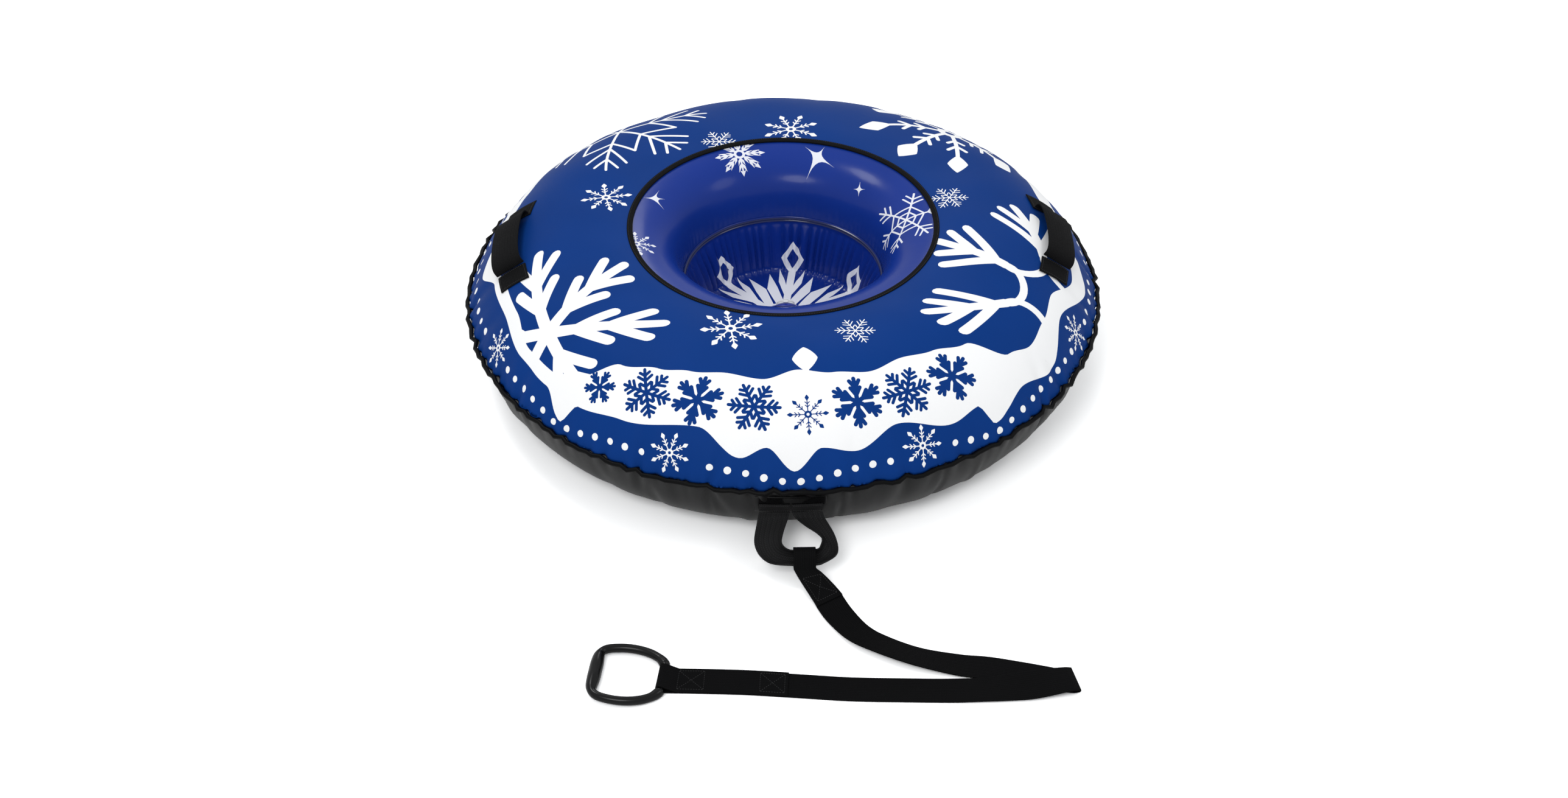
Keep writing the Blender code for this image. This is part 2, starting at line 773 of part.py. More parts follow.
def make_ring():
    bar = ring_bar()
    yaw = math.radians(RING_YAW_DEG)
    ahead = Vector((math.cos(yaw), math.sin(yaw), 0))
    side = Vector((math.sin(yaw), -math.cos(yaw), 0))
    half_bar = RING_BAR_LENGTH / 2
    half_width = RING_WIDTH / 2
    half_grip = RING_GRIP_LENGTH / 2
    corner = RING_LENGTH - (half_width - half_grip)
    arm = (
        (0.0, half_bar + RING_COLLAR_RADIUS / 4),
        (corner * 0.15, half_width),
        (corner * 0.65, half_width + RING_ARM_RADIUS),
        (corner, half_width),
    )
    bend = (
        (corner, half_width),
        (corner + (RING_LENGTH - corner) * 0.65, half_width - RING_ARM_RADIUS / 3),
        (RING_LENGTH, half_grip + (half_width - half_grip) * 0.55),
        (RING_LENGTH, half_grip),
    )
    half = [(0.0, 0.0, RING_BAR_RADIUS), (0.0, half_bar, RING_BAR_RADIUS)]
    half += [(*bezier(arm, 0), RING_COLLAR_RADIUS), (*bezier(arm, 0.12), RING_COLLAR_RADIUS)]
    half += [(*bezier(arm, t), RING_ARM_RADIUS) for t in (0.24, 0.4, 0.6, 0.8, 1)]
    half += [(*bezier(bend, t), RING_ARM_RADIUS) for t in (0.33, 0.66)]
    half += [(*bezier(bend, 1), RING_GRIP_END_RADIUS), (RING_LENGTH, half_grip / 2, RING_GRIP_RADIUS)]
    whole = half + [(RING_LENGTH, 0.0, RING_GRIP_RADIUS)]
    whole += [(u, -v, r) for u, v, r in half[:0:-1]]

    outline = bpy.data.curves.new("tow_ring", "CURVE")
    outline.dimensions = "3D"
    outline.bevel_depth = RING_ARM_RADIUS
    outline.bevel_resolution = 2
    spline = outline.splines.new("POLY")
    spline.points.add(len(whole) - 1)
    spline.use_cyclic_u = True
    rise = RING_GRIP_RADIUS + GAP - bar.z
    for point, (u, v, radius) in zip(spline.points, whole):
        lifted = Vector((0, 0, max(rise, 0) * u / RING_LENGTH))
        point.co = (*(ahead * u + side * v + lifted), 1)
        point.radius = radius / RING_ARM_RADIUS
    made = bpy.data.objects.new("tow_ring", outline)
    bpy.context.scene.collection.objects.link(made)
    place(made, "tow_ring", BLACK_PLASTIC, 0.25)
    made.location = bar


def valve_frame():
    """Origin on the chamber's wall, Z out of the wall towards the hole, Y towards the rim."""
    point, normal = at_arc(INNER_CURVE, VALVE_ARC)
    outward = Vector((math.cos(FRONT), math.sin(FRONT), 0))
    origin = outward * point[0] + Vector((0, 0, point[1]))
    z = (outward * normal[0] + Vector((0, 0, normal[1]))).normalized()
    x = Vector((-math.sin(FRONT), math.cos(FRONT), 0))
    y = z.cross(x)
    if y.z < 0:
        x = -x
        y = -y
    frame = Matrix((x, y, z)).transposed().to_4x4()
    frame.translation = origin
    return frame


def valve_turned(name, outlines, colour, roughness, open_ends=False):
    made = turned(name, outlines, colour, roughness, VALVE_SEGMENTS, open_ends)
    made.matrix_world = VALVE
    return made


VALVE = valve_frame()
NECK_RADIUS = NECK_BORE_RADIUS + NECK_WALL


def valve_ring(radius, height):
    """A circle about the valve's axis."""
    turns = [2 * math.pi * i / VALVE_SEGMENTS for i in range(VALVE_SEGMENTS)]
    return [VALVE @ Vector((radius * math.cos(a), radius * math.sin(a), height)) for a in turns]


def wall_ring(radius, lift):
    """A circle that follows the chamber's wall about the valve's axis."""
    middle = at_arc(INNER_CURVE, VALVE_ARC)[0][0]
    sideways = VALVE.col[0].to_3d()
    turn_sign = 1 if sideways.x * -math.sin(FRONT) > 0 else -1
    points = []
    for i in range(VALVE_SEGMENTS):
        a = 2 * math.pi * i / VALVE_SEGMENTS
        arc = VALVE_ARC + radius * math.sin(a)
        points.append(on_shell(INNER_CURVE, arc, FRONT + turn_sign * radius * math.cos(a) / middle, lift))
    return points


def make_valve(chamber):
    top_lift = VALVE_LIFT + VALVE_FLANGE_THICKNESS
    rings = [
        wall_ring(VALVE_FLANGE_RADIUS, VALVE_LIFT),
        wall_ring(VALVE_FLANGE_RADIUS, top_lift),
        wall_ring(NECK_RADIUS + VALVE_FLANGE_THICKNESS, top_lift),
        valve_ring(NECK_RADIUS, NECK_HEIGHT),
        valve_ring(NECK_BORE_RADIUS, NECK_HEIGHT),
        valve_ring(NECK_BORE_RADIUS, -NECK_DEPTH),
        valve_ring(NECK_RADIUS, -NECK_DEPTH),
        wall_ring(NECK_RADIUS, VALVE_LIFT),
    ]
    loft("valve_base", rings, True, FILM_BLUE, 0.3)

    bpy.ops.mesh.primitive_cylinder_add(
        vertices=VALVE_SEGMENTS, radius=NECK_RADIUS + GAP * 2, depth=NECK_DEPTH + NECK_HEIGHT
    )
    bore = bpy.context.object
    bore.name = "valve_bore"
    make_cutter(bore, VALVE)
    cut = chamber.modifiers.new("valve bore", "BOOLEAN")
    cut.operation = "DIFFERENCE"
    cut.object = bore

    outer = NECK_BORE_RADIUS - GAP
    inner = outer - VALVE_BODY_WALL
    lip_low = NECK_HEIGHT + GAP
    lip_high = lip_low + VALVE_BODY_LIP
    foot = lip_high - VALVE_BODY_DEPTH
    seat = foot + VALVE_SEAT_THICKNESS
    stem_hole = VALVE_STEM_RADIUS + GAP
    body = valve_turned(
        "valve_body",
        [
            [
                (inner, lip_high),
                (NECK_RADIUS, lip_high),
                (NECK_RADIUS, lip_low),
                (outer, lip_low),
                (outer, foot),
                (stem_hole, foot),
                (stem_hole, seat),
                (inner, seat),
            ]
        ],
        WHITE_PLASTIC,
        0.4,
    )
    for i in range(4):
        turn = math.pi / 4 + i * math.pi / 2
        middle = Vector(
            (VALVE_AIR_HOLE_CIRCLE * math.cos(turn), VALVE_AIR_HOLE_CIRCLE * math.sin(turn), (foot + seat) / 2)
        )
        bpy.ops.mesh.primitive_cylinder_add(
            vertices=8, radius=VALVE_AIR_HOLE_RADIUS, depth=VALVE_SEAT_THICKNESS + OVERRUN
        )
        drill = bpy.context.object
        drill.name = "air_hole"
        make_cutter(drill, VALVE @ Matrix.Translation(middle))
        cut = body.modifiers.new("air hole", "BOOLEAN")
        cut.operation = "DIFFERENCE"
        cut.object = drill

    disc = foot - GAP
    valve_turned(
        "valve_diaphragm",
        [
            [
                (0.0, disc + VALVE_STEM_LENGTH),
                (VALVE_STEM_RADIUS, disc + VALVE_STEM_LENGTH),
                (VALVE_STEM_RADIUS, disc),
                (DIAPHRAGM_RADIUS, disc),
                (DIAPHRAGM_RADIUS, disc - DIAPHRAGM_THICKNESS),
                (0.0, disc - DIAPHRAGM_THICKNESS),
            ]
        ],
        BLACK_WEBBING,
        0.5,
        open_ends=True,
    )

    cap_low = lip_high + GAP
    cap_high = cap_low + CAP_THICKNESS
    plug = inner - CAP_PLUG_PLAY
    cap = valve_turned(
        "valve_cap",
        [
            [
                (0.0, cap_high),
                (NECK_RADIUS, cap_high),
                (NECK_RADIUS, cap_low),
                (plug, cap_low),
                (plug, cap_low - CAP_PLUG_DEPTH),
                (0.0, cap_low - CAP_PLUG_DEPTH),
            ]
        ],
        WHITE_PLASTIC,
        0.4,
        open_ends=True,
    )
    hinge = NECK_RADIUS + HINGE_OFFSET
    hinge_height = cap_low - EAR_THICKNESS / 2 - GAP
    add_ear(cap, "cap_ear", NECK_RADIUS - OVERRUN / 4, hinge - EAR_THICKNESS / 2, cap_low, cap_low + EAR_THICKNESS)
    pivot = bpy.data.objects.new("cap_hinge", None)
    pivot.empty_display_size = NECK_RADIUS
    pivot.matrix_world = VALVE @ Matrix.Translation((0, hinge, hinge_height))
    PARTS.objects.link(pivot)
    bpy.context.view_layer.update()
    cap.parent = pivot
    cap.matrix_parent_inverse = pivot.matrix_world.inverted()

    tether_high = NECK_HEIGHT - TETHER_DROP / 2
    tether_low = tether_high - EAR_THICKNESS
    sleeve = NECK_RADIUS + GAP * 3
    tether = valve_turned(
        "valve_tether",
        [
            [
                (sleeve, tether_high),
                (sleeve + TETHER_RIM, tether_high),
                (sleeve + TETHER_RIM, tether_low),
                (sleeve, tether_low),
            ]
        ],
        WHITE_PLASTIC,
        0.4,
    )
    outer = hinge + EAR_THICKNESS / 2
    add_ear(tether, "tether_ear", sleeve + TETHER_RIM / 2, outer, tether_low, tether_high)
    add_ear(tether, "tether_upright", outer - EAR_THICKNESS, outer, tether_low, hinge_height)


def add_ear(made, name, start, end, low, high):
    """Join a flat ear that points to the rim to a turned piece of the valve."""
    bpy.ops.mesh.primitive_cube_add(size=1)
    ear = bpy.context.object
    ear.name = name
    shape = Matrix.Diagonal((EAR_WIDTH, end - start, high - low, 1))
    ear.data.transform(Matrix.Translation((0, (start + end) / 2, (low + high) / 2)) @ shape)
    make_cutter(ear, VALVE)
    join = made.modifiers.new(name, "BOOLEAN")
    join.operation = "UNION"
    join.object = ear


inner_tube = make_tube()
make_seams()
make_seat()
make_handles()
make_tow_loop()
make_strap()
make_ring()
make_valve(inner_tube)
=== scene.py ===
# %% [markdown]
# # A snow tube, dressed piece by piece
#
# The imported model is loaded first. It says where every solid is and which body carries it, so
# each piece below is made in place, in metres, and then told what it rides on and replaces.

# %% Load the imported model
import math
import random

import bpy
import numpy as np
from mathutils import Matrix, Vector, geometry, kdtree


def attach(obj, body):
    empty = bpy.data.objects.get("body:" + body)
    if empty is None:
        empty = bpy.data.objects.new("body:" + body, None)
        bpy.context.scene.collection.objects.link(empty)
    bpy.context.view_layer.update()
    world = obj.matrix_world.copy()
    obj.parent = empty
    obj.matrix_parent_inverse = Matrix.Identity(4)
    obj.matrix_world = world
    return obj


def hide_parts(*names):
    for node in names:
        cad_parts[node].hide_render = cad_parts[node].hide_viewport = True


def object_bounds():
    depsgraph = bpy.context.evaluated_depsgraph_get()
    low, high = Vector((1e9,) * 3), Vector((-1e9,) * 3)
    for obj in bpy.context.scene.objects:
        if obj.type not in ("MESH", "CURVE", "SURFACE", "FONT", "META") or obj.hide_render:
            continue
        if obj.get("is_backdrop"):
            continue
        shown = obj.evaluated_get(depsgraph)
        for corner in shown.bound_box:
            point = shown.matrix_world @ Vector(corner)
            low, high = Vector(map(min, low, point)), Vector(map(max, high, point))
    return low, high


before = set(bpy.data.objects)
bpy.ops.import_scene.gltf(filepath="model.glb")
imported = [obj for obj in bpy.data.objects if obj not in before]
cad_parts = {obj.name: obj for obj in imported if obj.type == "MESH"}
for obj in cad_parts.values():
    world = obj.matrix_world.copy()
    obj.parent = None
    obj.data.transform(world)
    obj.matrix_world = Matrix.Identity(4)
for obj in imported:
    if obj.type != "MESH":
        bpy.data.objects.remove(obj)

cad_box = [[float(x) for x in corner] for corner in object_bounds()]
print("the CAD box is", cad_box)

# %% [markdown]
# ## The camera
#
# The photograph is a product view from well above head height. A 55 mm lens on a 36 mm sensor,
# four and a third metres away and tilted down by 39 degrees, gives its perspective.

# %% The camera
TILT = 0.6777
YAW_DEG = -1.3
LENS = 55.435
CAMERA_PLACE = (-0.07698, -3.45815, 2.6589)
facing = (math.pi / 2 - TILT, 0, math.radians(YAW_DEG))
bpy.ops.object.camera_add(location=CAMERA_PLACE, rotation=facing)
camera = bpy.context.object
camera.data.lens = LENS
bpy.context.scene.camera = camera
print("camera", CAMERA_PLACE, "lens", LENS)

# %% [markdown]
# ## Shader maths as Python
#
# Materials are easier to read as expressions. A Wire holds one socket, and each operator on it
# adds a Math node. A Finish is one material: its node method adds any other node.

# %% Wires and finishes
class Wire:
    """The value of a socket, on which arithmetic adds Math nodes."""

    def __init__(self, finish, socket):
        self.finish = finish
        self.socket = socket

    def maths(self, operation, *values):
        return self.finish.node("Math", {"operation": operation}, dict(enumerate(values)))

    def __add__(self, other):
        return self.maths("ADD", self, other)

    def __radd__(self, other):
        return self.maths("ADD", other, self)

    def __sub__(self, other):
        return self.maths("SUBTRACT", self, other)

    def __rsub__(self, other):
        return self.maths("SUBTRACT", other, self)

    def __mul__(self, other):
        return self.maths("MULTIPLY", self, other)

    def __rmul__(self, other):
        return self.maths("MULTIPLY", other, self)

    def __truediv__(self, other):
        return self.maths("DIVIDE", self, other)

    def sine(self):
        return self.maths("SINE", self)

    def size(self):
        return self.maths("ABSOLUTE", self)

    def whole(self):
        return self.maths("FLOOR", self)

    def rest(self):
        return self.maths("FRACT", self)

    def power(self, exponent):
        return self.maths("POWER", self, exponent)


class Finish:
    """A material, built node by node."""

    def __init__(self, name):
        self.material = bpy.data.materials.new(name)
        self.material.use_nodes = True
        self.tree = self.material.node_tree
        self.tree.nodes.clear()

    def node(self, kind, settings=None, inputs=None, output=0):
        made = self.tree.nodes.new("ShaderNode" + kind)
        for key, value in (settings or {}).items():
            setattr(made, key, value)
        for key, value in (inputs or {}).items():
            if isinstance(value, Wire):
                self.tree.links.new(value.socket, made.inputs[key])
            else:
                made.inputs[key].default_value = value
        return None if output is None else Wire(self, made.outputs[output])

    def noise(self, scale, detail, where):
        return self.node("TexNoise", None, {"Scale": scale, "Detail": detail, "Vector": where})

    def place(self):
        return self.node("TexCoord", output="Object")

    def metres(self):
        """The piece's UV map, which is laid in metres, as two wires."""
        uv = self.node("TexCoord", output="UV")
        return (
            self.node("SeparateXYZ", None, {"Vector": uv}, "X"),
            self.node("SeparateXYZ", None, {"Vector": uv}, "Y"),
        )

    def mix(self, share, first, second):
        """A colour between two: among this node's inputs, 6 and 7 are the colours."""
        return self.node("Mix", {"data_type": "RGBA"}, {"Factor": share, 6: first, 7: second}, 2)

    def bump(self, height, depth, strength):
        return self.node("Bump", None, {"Height": height, "Distance": depth, "Strength": strength})

    def done(self, sockets):
        return self.shown(self.node("BsdfPrincipled", None, sockets))

    def shown(self, shader):
        self.node("OutputMaterial", None, {"Surface": shader}, None)
        return self.material


def shade(colour, factor=1.0):
    return tuple(c * factor for c in colour) + (1.0,)


print("shader helpers ready")

# %% [markdown]
# ## What the tube is finished in
#
# The upper panel is a coated polyester: a smooth blue face with the print in white ink, and a
# fine weave that shows only as a slight grain in its shine. The lower panel is the same cloth
# with a heavier black coat. The chamber and the seat are clear-coated film, so they shine more.

# %% Coated cloth, film and ink
COVER_BLUE = (0.0028, 0.0370, 0.2030)
FILM_BLUE = (0.0070, 0.0320, 0.2450)
SEAT_BLUE = (0.0040, 0.0230, 0.2150)
# The weld's film is a darker blue than the chamber's: painted shade for the weld's lines.
WELD_SHADE_BLUE = (0.0020, 0.0100, 0.0850)
INK_WHITE = (0.9300, 0.9320, 0.9350)
INK_PALE = (0.8000, 0.8100, 0.8700)
BLACK = (0.0055, 0.0055, 0.0058)
PIPING_BLACK = (0.0030, 0.0030, 0.0033)
THREAD_PITCH = 0.0009


def grain(finish):
    """A plain weave over and under, from the piece's UV map in metres."""
    u, v = finish.metres()
    warp = (u * (math.pi / THREAD_PITCH)).sine()
    weft = (v * (math.pi / THREAD_PITCH)).sine()
    return warp * weft


def coated_cloth(name, colour, roughness, weave_depth, variation=0.12, shine=0.045):
    """Cloth under a smooth coat: slow clouds change its tone and shine, and its weave is faint."""
    finish = Finish(name)
    where = finish.place()
    cloud = finish.noise(7.0, 3.0, where)
    fine = finish.noise(60.0, 2.0, where)
    tone = finish.mix(cloud, shade(colour, 1 - variation), shade(colour, 1 + variation))
    height = grain(finish) * 0.5 + fine * 0.8
    return finish.done({
        "Base Color": tone,
        "Roughness": cloud * 0.10 + (roughness - 0.05),
        "Normal": finish.bump(height, weave_depth, 0.6),
        "Specular IOR Level": shine,
    })


def film(name, colour, roughness, coat=0.10, variation=0.10):
    """Welded film under a clear coat, with slow ripples."""
    finish = Finish(name)
    where = finish.place()
    cloud = finish.noise(9.0, 2.0, where)
    ripple = finish.noise(45.0, 3.0, where)
    tone = finish.mix(cloud, shade(colour, 1 - variation), shade(colour, 1 + variation))
    return finish.done({
        "Base Color": tone,
        "Roughness": ripple * 0.08 + (roughness - 0.04),
        "Normal": finish.bump(ripple, 0.0006, 0.35),
        "Specular IOR Level": 0.12,
        "Coat Weight": coat,
        "Coat Roughness": 0.12,
    })


cover_cloth = coated_cloth("cover_cloth", COVER_BLUE, 0.50, 0.00008)
cover_ink = coated_cloth("cover_ink", INK_WHITE, 0.48, 0.00008, variation=0.015)
black_coat = coated_cloth("black_coat", BLACK, 0.33, 0.00010, variation=0.25, shine=0.26)
piping_vinyl = coated_cloth("piping_vinyl", PIPING_BLACK, 0.40, 0.00006, variation=0.2, shine=0.07)
air_film = film("air_film", FILM_BLUE, 0.24)
seat_film = film("seat_film", SEAT_BLUE, 0.24, coat=0.35)
film_ink = film("film_ink", INK_PALE, 0.38, coat=0.05, variation=0.03)
weld_film = film("weld_film", WELD_SHADE_BLUE, 0.18, coat=0.60)
print("cloth, film and ink:", cover_cloth.name, air_film.name, film_ink.name)

# %% [markdown]
# ## Webbing
#
# Polyester webbing is woven in ribs that run along it, crossed by the picks of the weft. The
# whole part of the UV map over the rib's width tells the ribs apart, and the rest of it is the
# place across one rib. The yarns lean left and right in turn, and every second rib is moved
# by half a pick, which gives the herringbone of real webbing.

# %% Webbing, tape and thread
# These two scale the webbing's colour: painted shade in the weave's hollows, and painted highlight
# on the tops of its yarns.
HOLLOW_SHADE = 0.04
YARN_HIGHLIGHT = 2.6


def webbing_finish(name, colour, rib, pick, depth, roughness=0.70, shine=0.045):
    """Woven ribs of one width, with picks of one length, from the UV map in metres."""
    finish = Finish(name)
    u, v = finish.metres()
    row = u / rib
    odd = (row * 0.5).rest() * 2.0
    lean = (odd.whole() - 0.5) * 0.9
    across = row.rest() - 0.5
    along = v / pick + lean * across * 2.0 + odd.whole() * 0.5
    yarn = ((along.rest() - 0.5).size() * -2.0 + 1.0).power(0.6)
    rounded = 1.0 - (across * across) * 3.2
    height = yarn * 0.55 + rounded * 0.45
    worn = finish.noise(55.0, 3.0, finish.place())
    # The colour follows the weave's height: painted shade in its hollows and painted highlight on
    # its yarns, with some random wear mixed in.
    light = height * 0.75 + worn * 0.25
    tone = finish.mix(light, shade(colour, HOLLOW_SHADE), shade(colour, YARN_HIGHLIGHT))
    return finish.done({
        "Base Color": tone,
        "Roughness": worn * 0.16 + (roughness - 0.08),
        "Normal": finish.bump(height, depth, 0.9),
        "Specular IOR Level": shine,
    })


webbing = webbing_finish("webbing", (0.0021, 0.0021, 0.0023), 0.0036, 0.0026, 0.0009)
loop_black = (0.0068, 0.0068, 0.0072)
loop_webbing = webbing_finish("loop_webbing", loop_black, 0.0042, 0.0034, 0.0012, 0.60, 0.14)
grip_webbing = webbing_finish("grip_webbing", (0.0040, 0.0040, 0.0043), 0.0030, 0.0024, 0.0008)
tape_cloth = webbing_finish("tape_cloth", (0.0030, 0.0030, 0.0033), 0.0014, 0.0012, 0.0002, 0.62)


def thread_finish():
    """Twisted thread, a little paler than the webbing it sews."""
    finish = Finish("thread")
    twist = finish.noise(900.0, 2.0, finish.place())
    tone = finish.mix(twist, shade((0.010, 0.010, 0.011)), shade((0.032, 0.032, 0.034)))
    return finish.done({
        "Base Color": tone,
        "Roughness": twist * 0.2 + 0.45,
        "Normal": finish.bump(twist, 0.0002, 0.5),
    })


thread = thread_finish()
print("webbing:", webbing.name, grip_webbing.name, tape_cloth.name)

# %% [markdown]
# ## Moulded plastic and vinyl
#
# The hand ring is injection moulded: nearly smooth, with the faint orange-peel of a textured
# tool. The patch under the seam is a welded vinyl, much shinier than the cloth it sits on.

# %% Plastic, vinyl and rubber
def moulded(name, colour, roughness, texture=0.00004, shine=0.5):
    """Plastic from a tool, with the tool's fine peel and shine worn by hands."""
    finish = Finish(name)
    where = finish.place()
    peel = finish.noise(420.0, 2.0, where)
    handled = finish.noise(22.0, 3.0, where)
    tone = finish.mix(handled, shade(colour, 0.85), shade(colour, 1.2))
    return finish.done({
        "Base Color": tone,
        "Roughness": handled * 0.14 + (roughness - 0.07),
        "Normal": finish.bump(peel, texture, 0.5),
        "Specular IOR Level": shine,
    })


ring_plastic = moulded("ring_plastic", (0.0026, 0.0026, 0.0028), 0.24, 0.00004, 0.24)
patch_vinyl = moulded("patch_vinyl", (0.0035, 0.0035, 0.0038), 0.16, 0.00010, 0.22)
valve_vinyl = moulded("valve_vinyl", (0.020, 0.045, 0.36), 0.30)
valve_plastic = moulded("valve_plastic", (0.62, 0.63, 0.64), 0.34)
valve_rubber = moulded("valve_rubber", (0.012, 0.012, 0.012), 0.55)
print("plastics:", ring_plastic.name, patch_vinyl.name, valve_plastic.name)

# %% [markdown]
# ## Helpers for laying cloth
#
# A strip of webbing starts as a flat grid. Its columns are then moved to stations along the
# strip, which say where its middle runs, which way its width points and how much it curls.
# Solidify gives it its thickness and a small Bevel rounds its selvedges. Every piece is named,
# given its finishes and told what it rides on in one place.

# %% Choosing, changing and finishing a piece
SHARP_EDGE = math.radians(50)


def choose(piece, *others):
    """Select a piece, alone or with others, and make it the active one."""
    bpy.ops.object.select_all(action="DESELECT")
    for each in (piece, *others):
        each.select_set(True)
    bpy.context.view_layer.objects.active = piece


def edit(piece, operation, **settings):
    """Run one mesh operation on the whole of a piece."""
    choose(piece)
    bpy.ops.object.mode_set(mode="EDIT")
    bpy.ops.mesh.select_all(action="SELECT")
    operation(**settings)
    bpy.ops.object.mode_set(mode="OBJECT")


def modify(piece, kind, **settings):
    """Add a modifier and apply it at once."""
    choose(piece)
    added = piece.modifiers.new(kind.lower(), kind)
    for key, value in settings.items():
        setattr(added, key, value)
    bpy.ops.object.modifier_apply(modifier=added.name)


def round_edges(piece, width):
    """A small bevel on the edges between faces that meet at an angle."""
    modify(piece, "BEVEL", width=width, segments=2, limit_method="ANGLE", angle_limit=SHARP_EDGE)


def smooth(piece, angle_deg):
    choose(piece)
    bpy.ops.object.shade_smooth_by_angle(angle=math.radians(angle_deg))


def finished(piece, name, finishes, body, node):
    """Name a piece, give it its finishes and tell what it rides on and stands for."""
    piece.name = name
    piece.data.name = name
    for finish in finishes:
        piece.data.materials.append(finish)
    choose(piece)
    bpy.ops.object.transform_apply(location=True, rotation=True, scale=True)
    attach(piece, body)
    if node:
        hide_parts(node)
    piece.data.update()
    print(name, len(piece.data.polygons), "faces")


print("piece helpers ready")


# %% Points, lengths and turns
def new_piece(name, points, faces):
    """A smooth piece from lists of points and faces."""
    mesh = bpy.data.meshes.new(name)
    mesh.from_pydata(points, [], faces)
    mesh.polygons.foreach_set("use_smooth", np.ones(len(faces), dtype=bool))
    piece = bpy.data.objects.new(name, mesh)
    bpy.context.scene.collection.objects.link(piece)
    return piece


def points_of(piece):
    flat = np.empty(len(piece.data.vertices) * 3)
    piece.data.vertices.foreach_get("co", flat)
    return flat.reshape(-1, 3)


def move_points(piece, points):
    piece.data.vertices.foreach_set("co", np.asarray(points, float).ravel())
    piece.data.update()


def write_uv(piece, places, period=None):
    """A UV map in metres from one place per vertex; period joins it across a ring's end."""
    mesh = piece.data
    layer = mesh.uv_layers[0] if mesh.uv_layers else mesh.uv_layers.new(name="metres")
    corners = np.empty(len(mesh.loops), dtype=int)
    mesh.loops.foreach_get("vertex_index", corners)
    uv = places[corners].copy()
    if period:
        first = np.empty(len(mesh.polygons), dtype=int)
        mesh.polygons.foreach_get("loop_start", first)
        count = np.empty(len(mesh.polygons), dtype=int)
        mesh.polygons.foreach_get("loop_total", count)
        start = np.repeat(uv[first, 0], count)
        uv[:, 0] -= period * np.round((uv[:, 0] - start) / period)
    layer.data.foreach_set("uv", uv.ravel())


def lengths_along(points):
    """How far each point lies along the line through all of them."""
    steps = np.linalg.norm(np.diff(points, axis=0), axis=1)
    return np.concatenate(([0.0], np.cumsum(steps)))


def read_at(lengths, known, rows):
    """Each column of rows, read at some lengths between the known ones."""
    return [np.interp(lengths, known, column) for column in np.asarray(rows).T]


def around(turns, radius, *height):
    """Points at turns about the middle axis: flat ones, or ones at a height."""
    return np.stack((radius * np.cos(turns), radius * np.sin(turns), *height), 1)


def turns_of(points):
    """The turn and the radius of each point about the middle axis."""
    return np.arctan2(points[:, 1], points[:, 0]), np.hypot(points[:, 0], points[:, 1])


def grid(columns, rows):
    """A flat grid two units wide: each point's share along it and its side, from -1 to 1."""
    bpy.ops.mesh.primitive_grid_add(x_subdivisions=columns, y_subdivisions=rows, size=2)
    piece = bpy.context.object
    flat = points_of(piece)
    return piece, (flat[:, 0] + 1) / 2, flat[:, 1]


print("point helpers ready")


# %% Webbing laid through stations
NO_CURL = 1e-6


def thickened(piece, thickness, offset, bevel):
    """Cloth of one thickness, with rounded edges."""
    modify(piece, "SOLIDIFY", thickness=thickness, offset=offset, use_even_offset=True)
    round_edges(piece, bevel)
    smooth(piece, 50)
    return piece


def laid_webbing(stations, rows, thickness, bevel=0.0005):
    """A strip whose width is split into rows, laid through (middle, across, half, curl, up)."""
    last = len(stations) - 1
    piece, shares, sides = grid(last, rows)
    lengths = [0.0]
    for before, after in zip(stations, stations[1:]):
        lengths.append(lengths[-1] + (after[0] - before[0]).length)
    points, places = [], []
    for share, side in zip(shares, sides):
        index = round(share * last)
        middle, across, half, curl, up = stations[index]
        places.append((side * half, lengths[index]))
        if abs(curl) < NO_CURL:
            points.append(tuple(middle + across * side * half))
            continue
        radius = 2 * half / curl
        angle = curl * side / 2
        rolled = up * radius * (1 - math.cos(angle))
        points.append(tuple(middle + across * radius * math.sin(angle) + rolled))
    move_points(piece, points)
    write_uv(piece, np.array(places))
    return thickened(piece, thickness, 0, bevel)


def between(a, b, c, d, t):
    """A place between b and c on a Catmull-Rom curve through four rows of numbers."""
    bend = (2 * a - 5 * b + 4 * c - d) * t * t + (3 * b - a - 3 * c + d) * t**3
    return 0.5 * (2 * b + (c - a) * t + bend)


def smooth_route(rows, step):
    """A soft curve through rows of numbers, with a point about every step."""
    rows = [np.array(row, float) for row in rows]
    ends = [2 * rows[0] - rows[1], *rows, 2 * rows[-1] - rows[-2]]
    path = []
    for a, b, c, d in zip(ends, ends[1:], ends[2:], ends[3:]):
        count = max(2, round(float(np.linalg.norm((c - b)[:3])) / step))
        path += [between(a, b, c, d, i / count) for i in range(count)]
    return np.array(path + [rows[-1]])


# %% [markdown]
# ## Sewing
#
# A stitch is a short bead of thread that sinks into the cloth at both ends. One bead is
# modelled as a small sphere, stretched, and copied along every seam line. The copies go into
# one mesh, because hundreds of separate objects would be slow to carry about.

# %% Stitches
STITCH_GAP = 0.30
STITCH_WIDTH = 0.00075
STITCH_HEIGHT = 0.00055


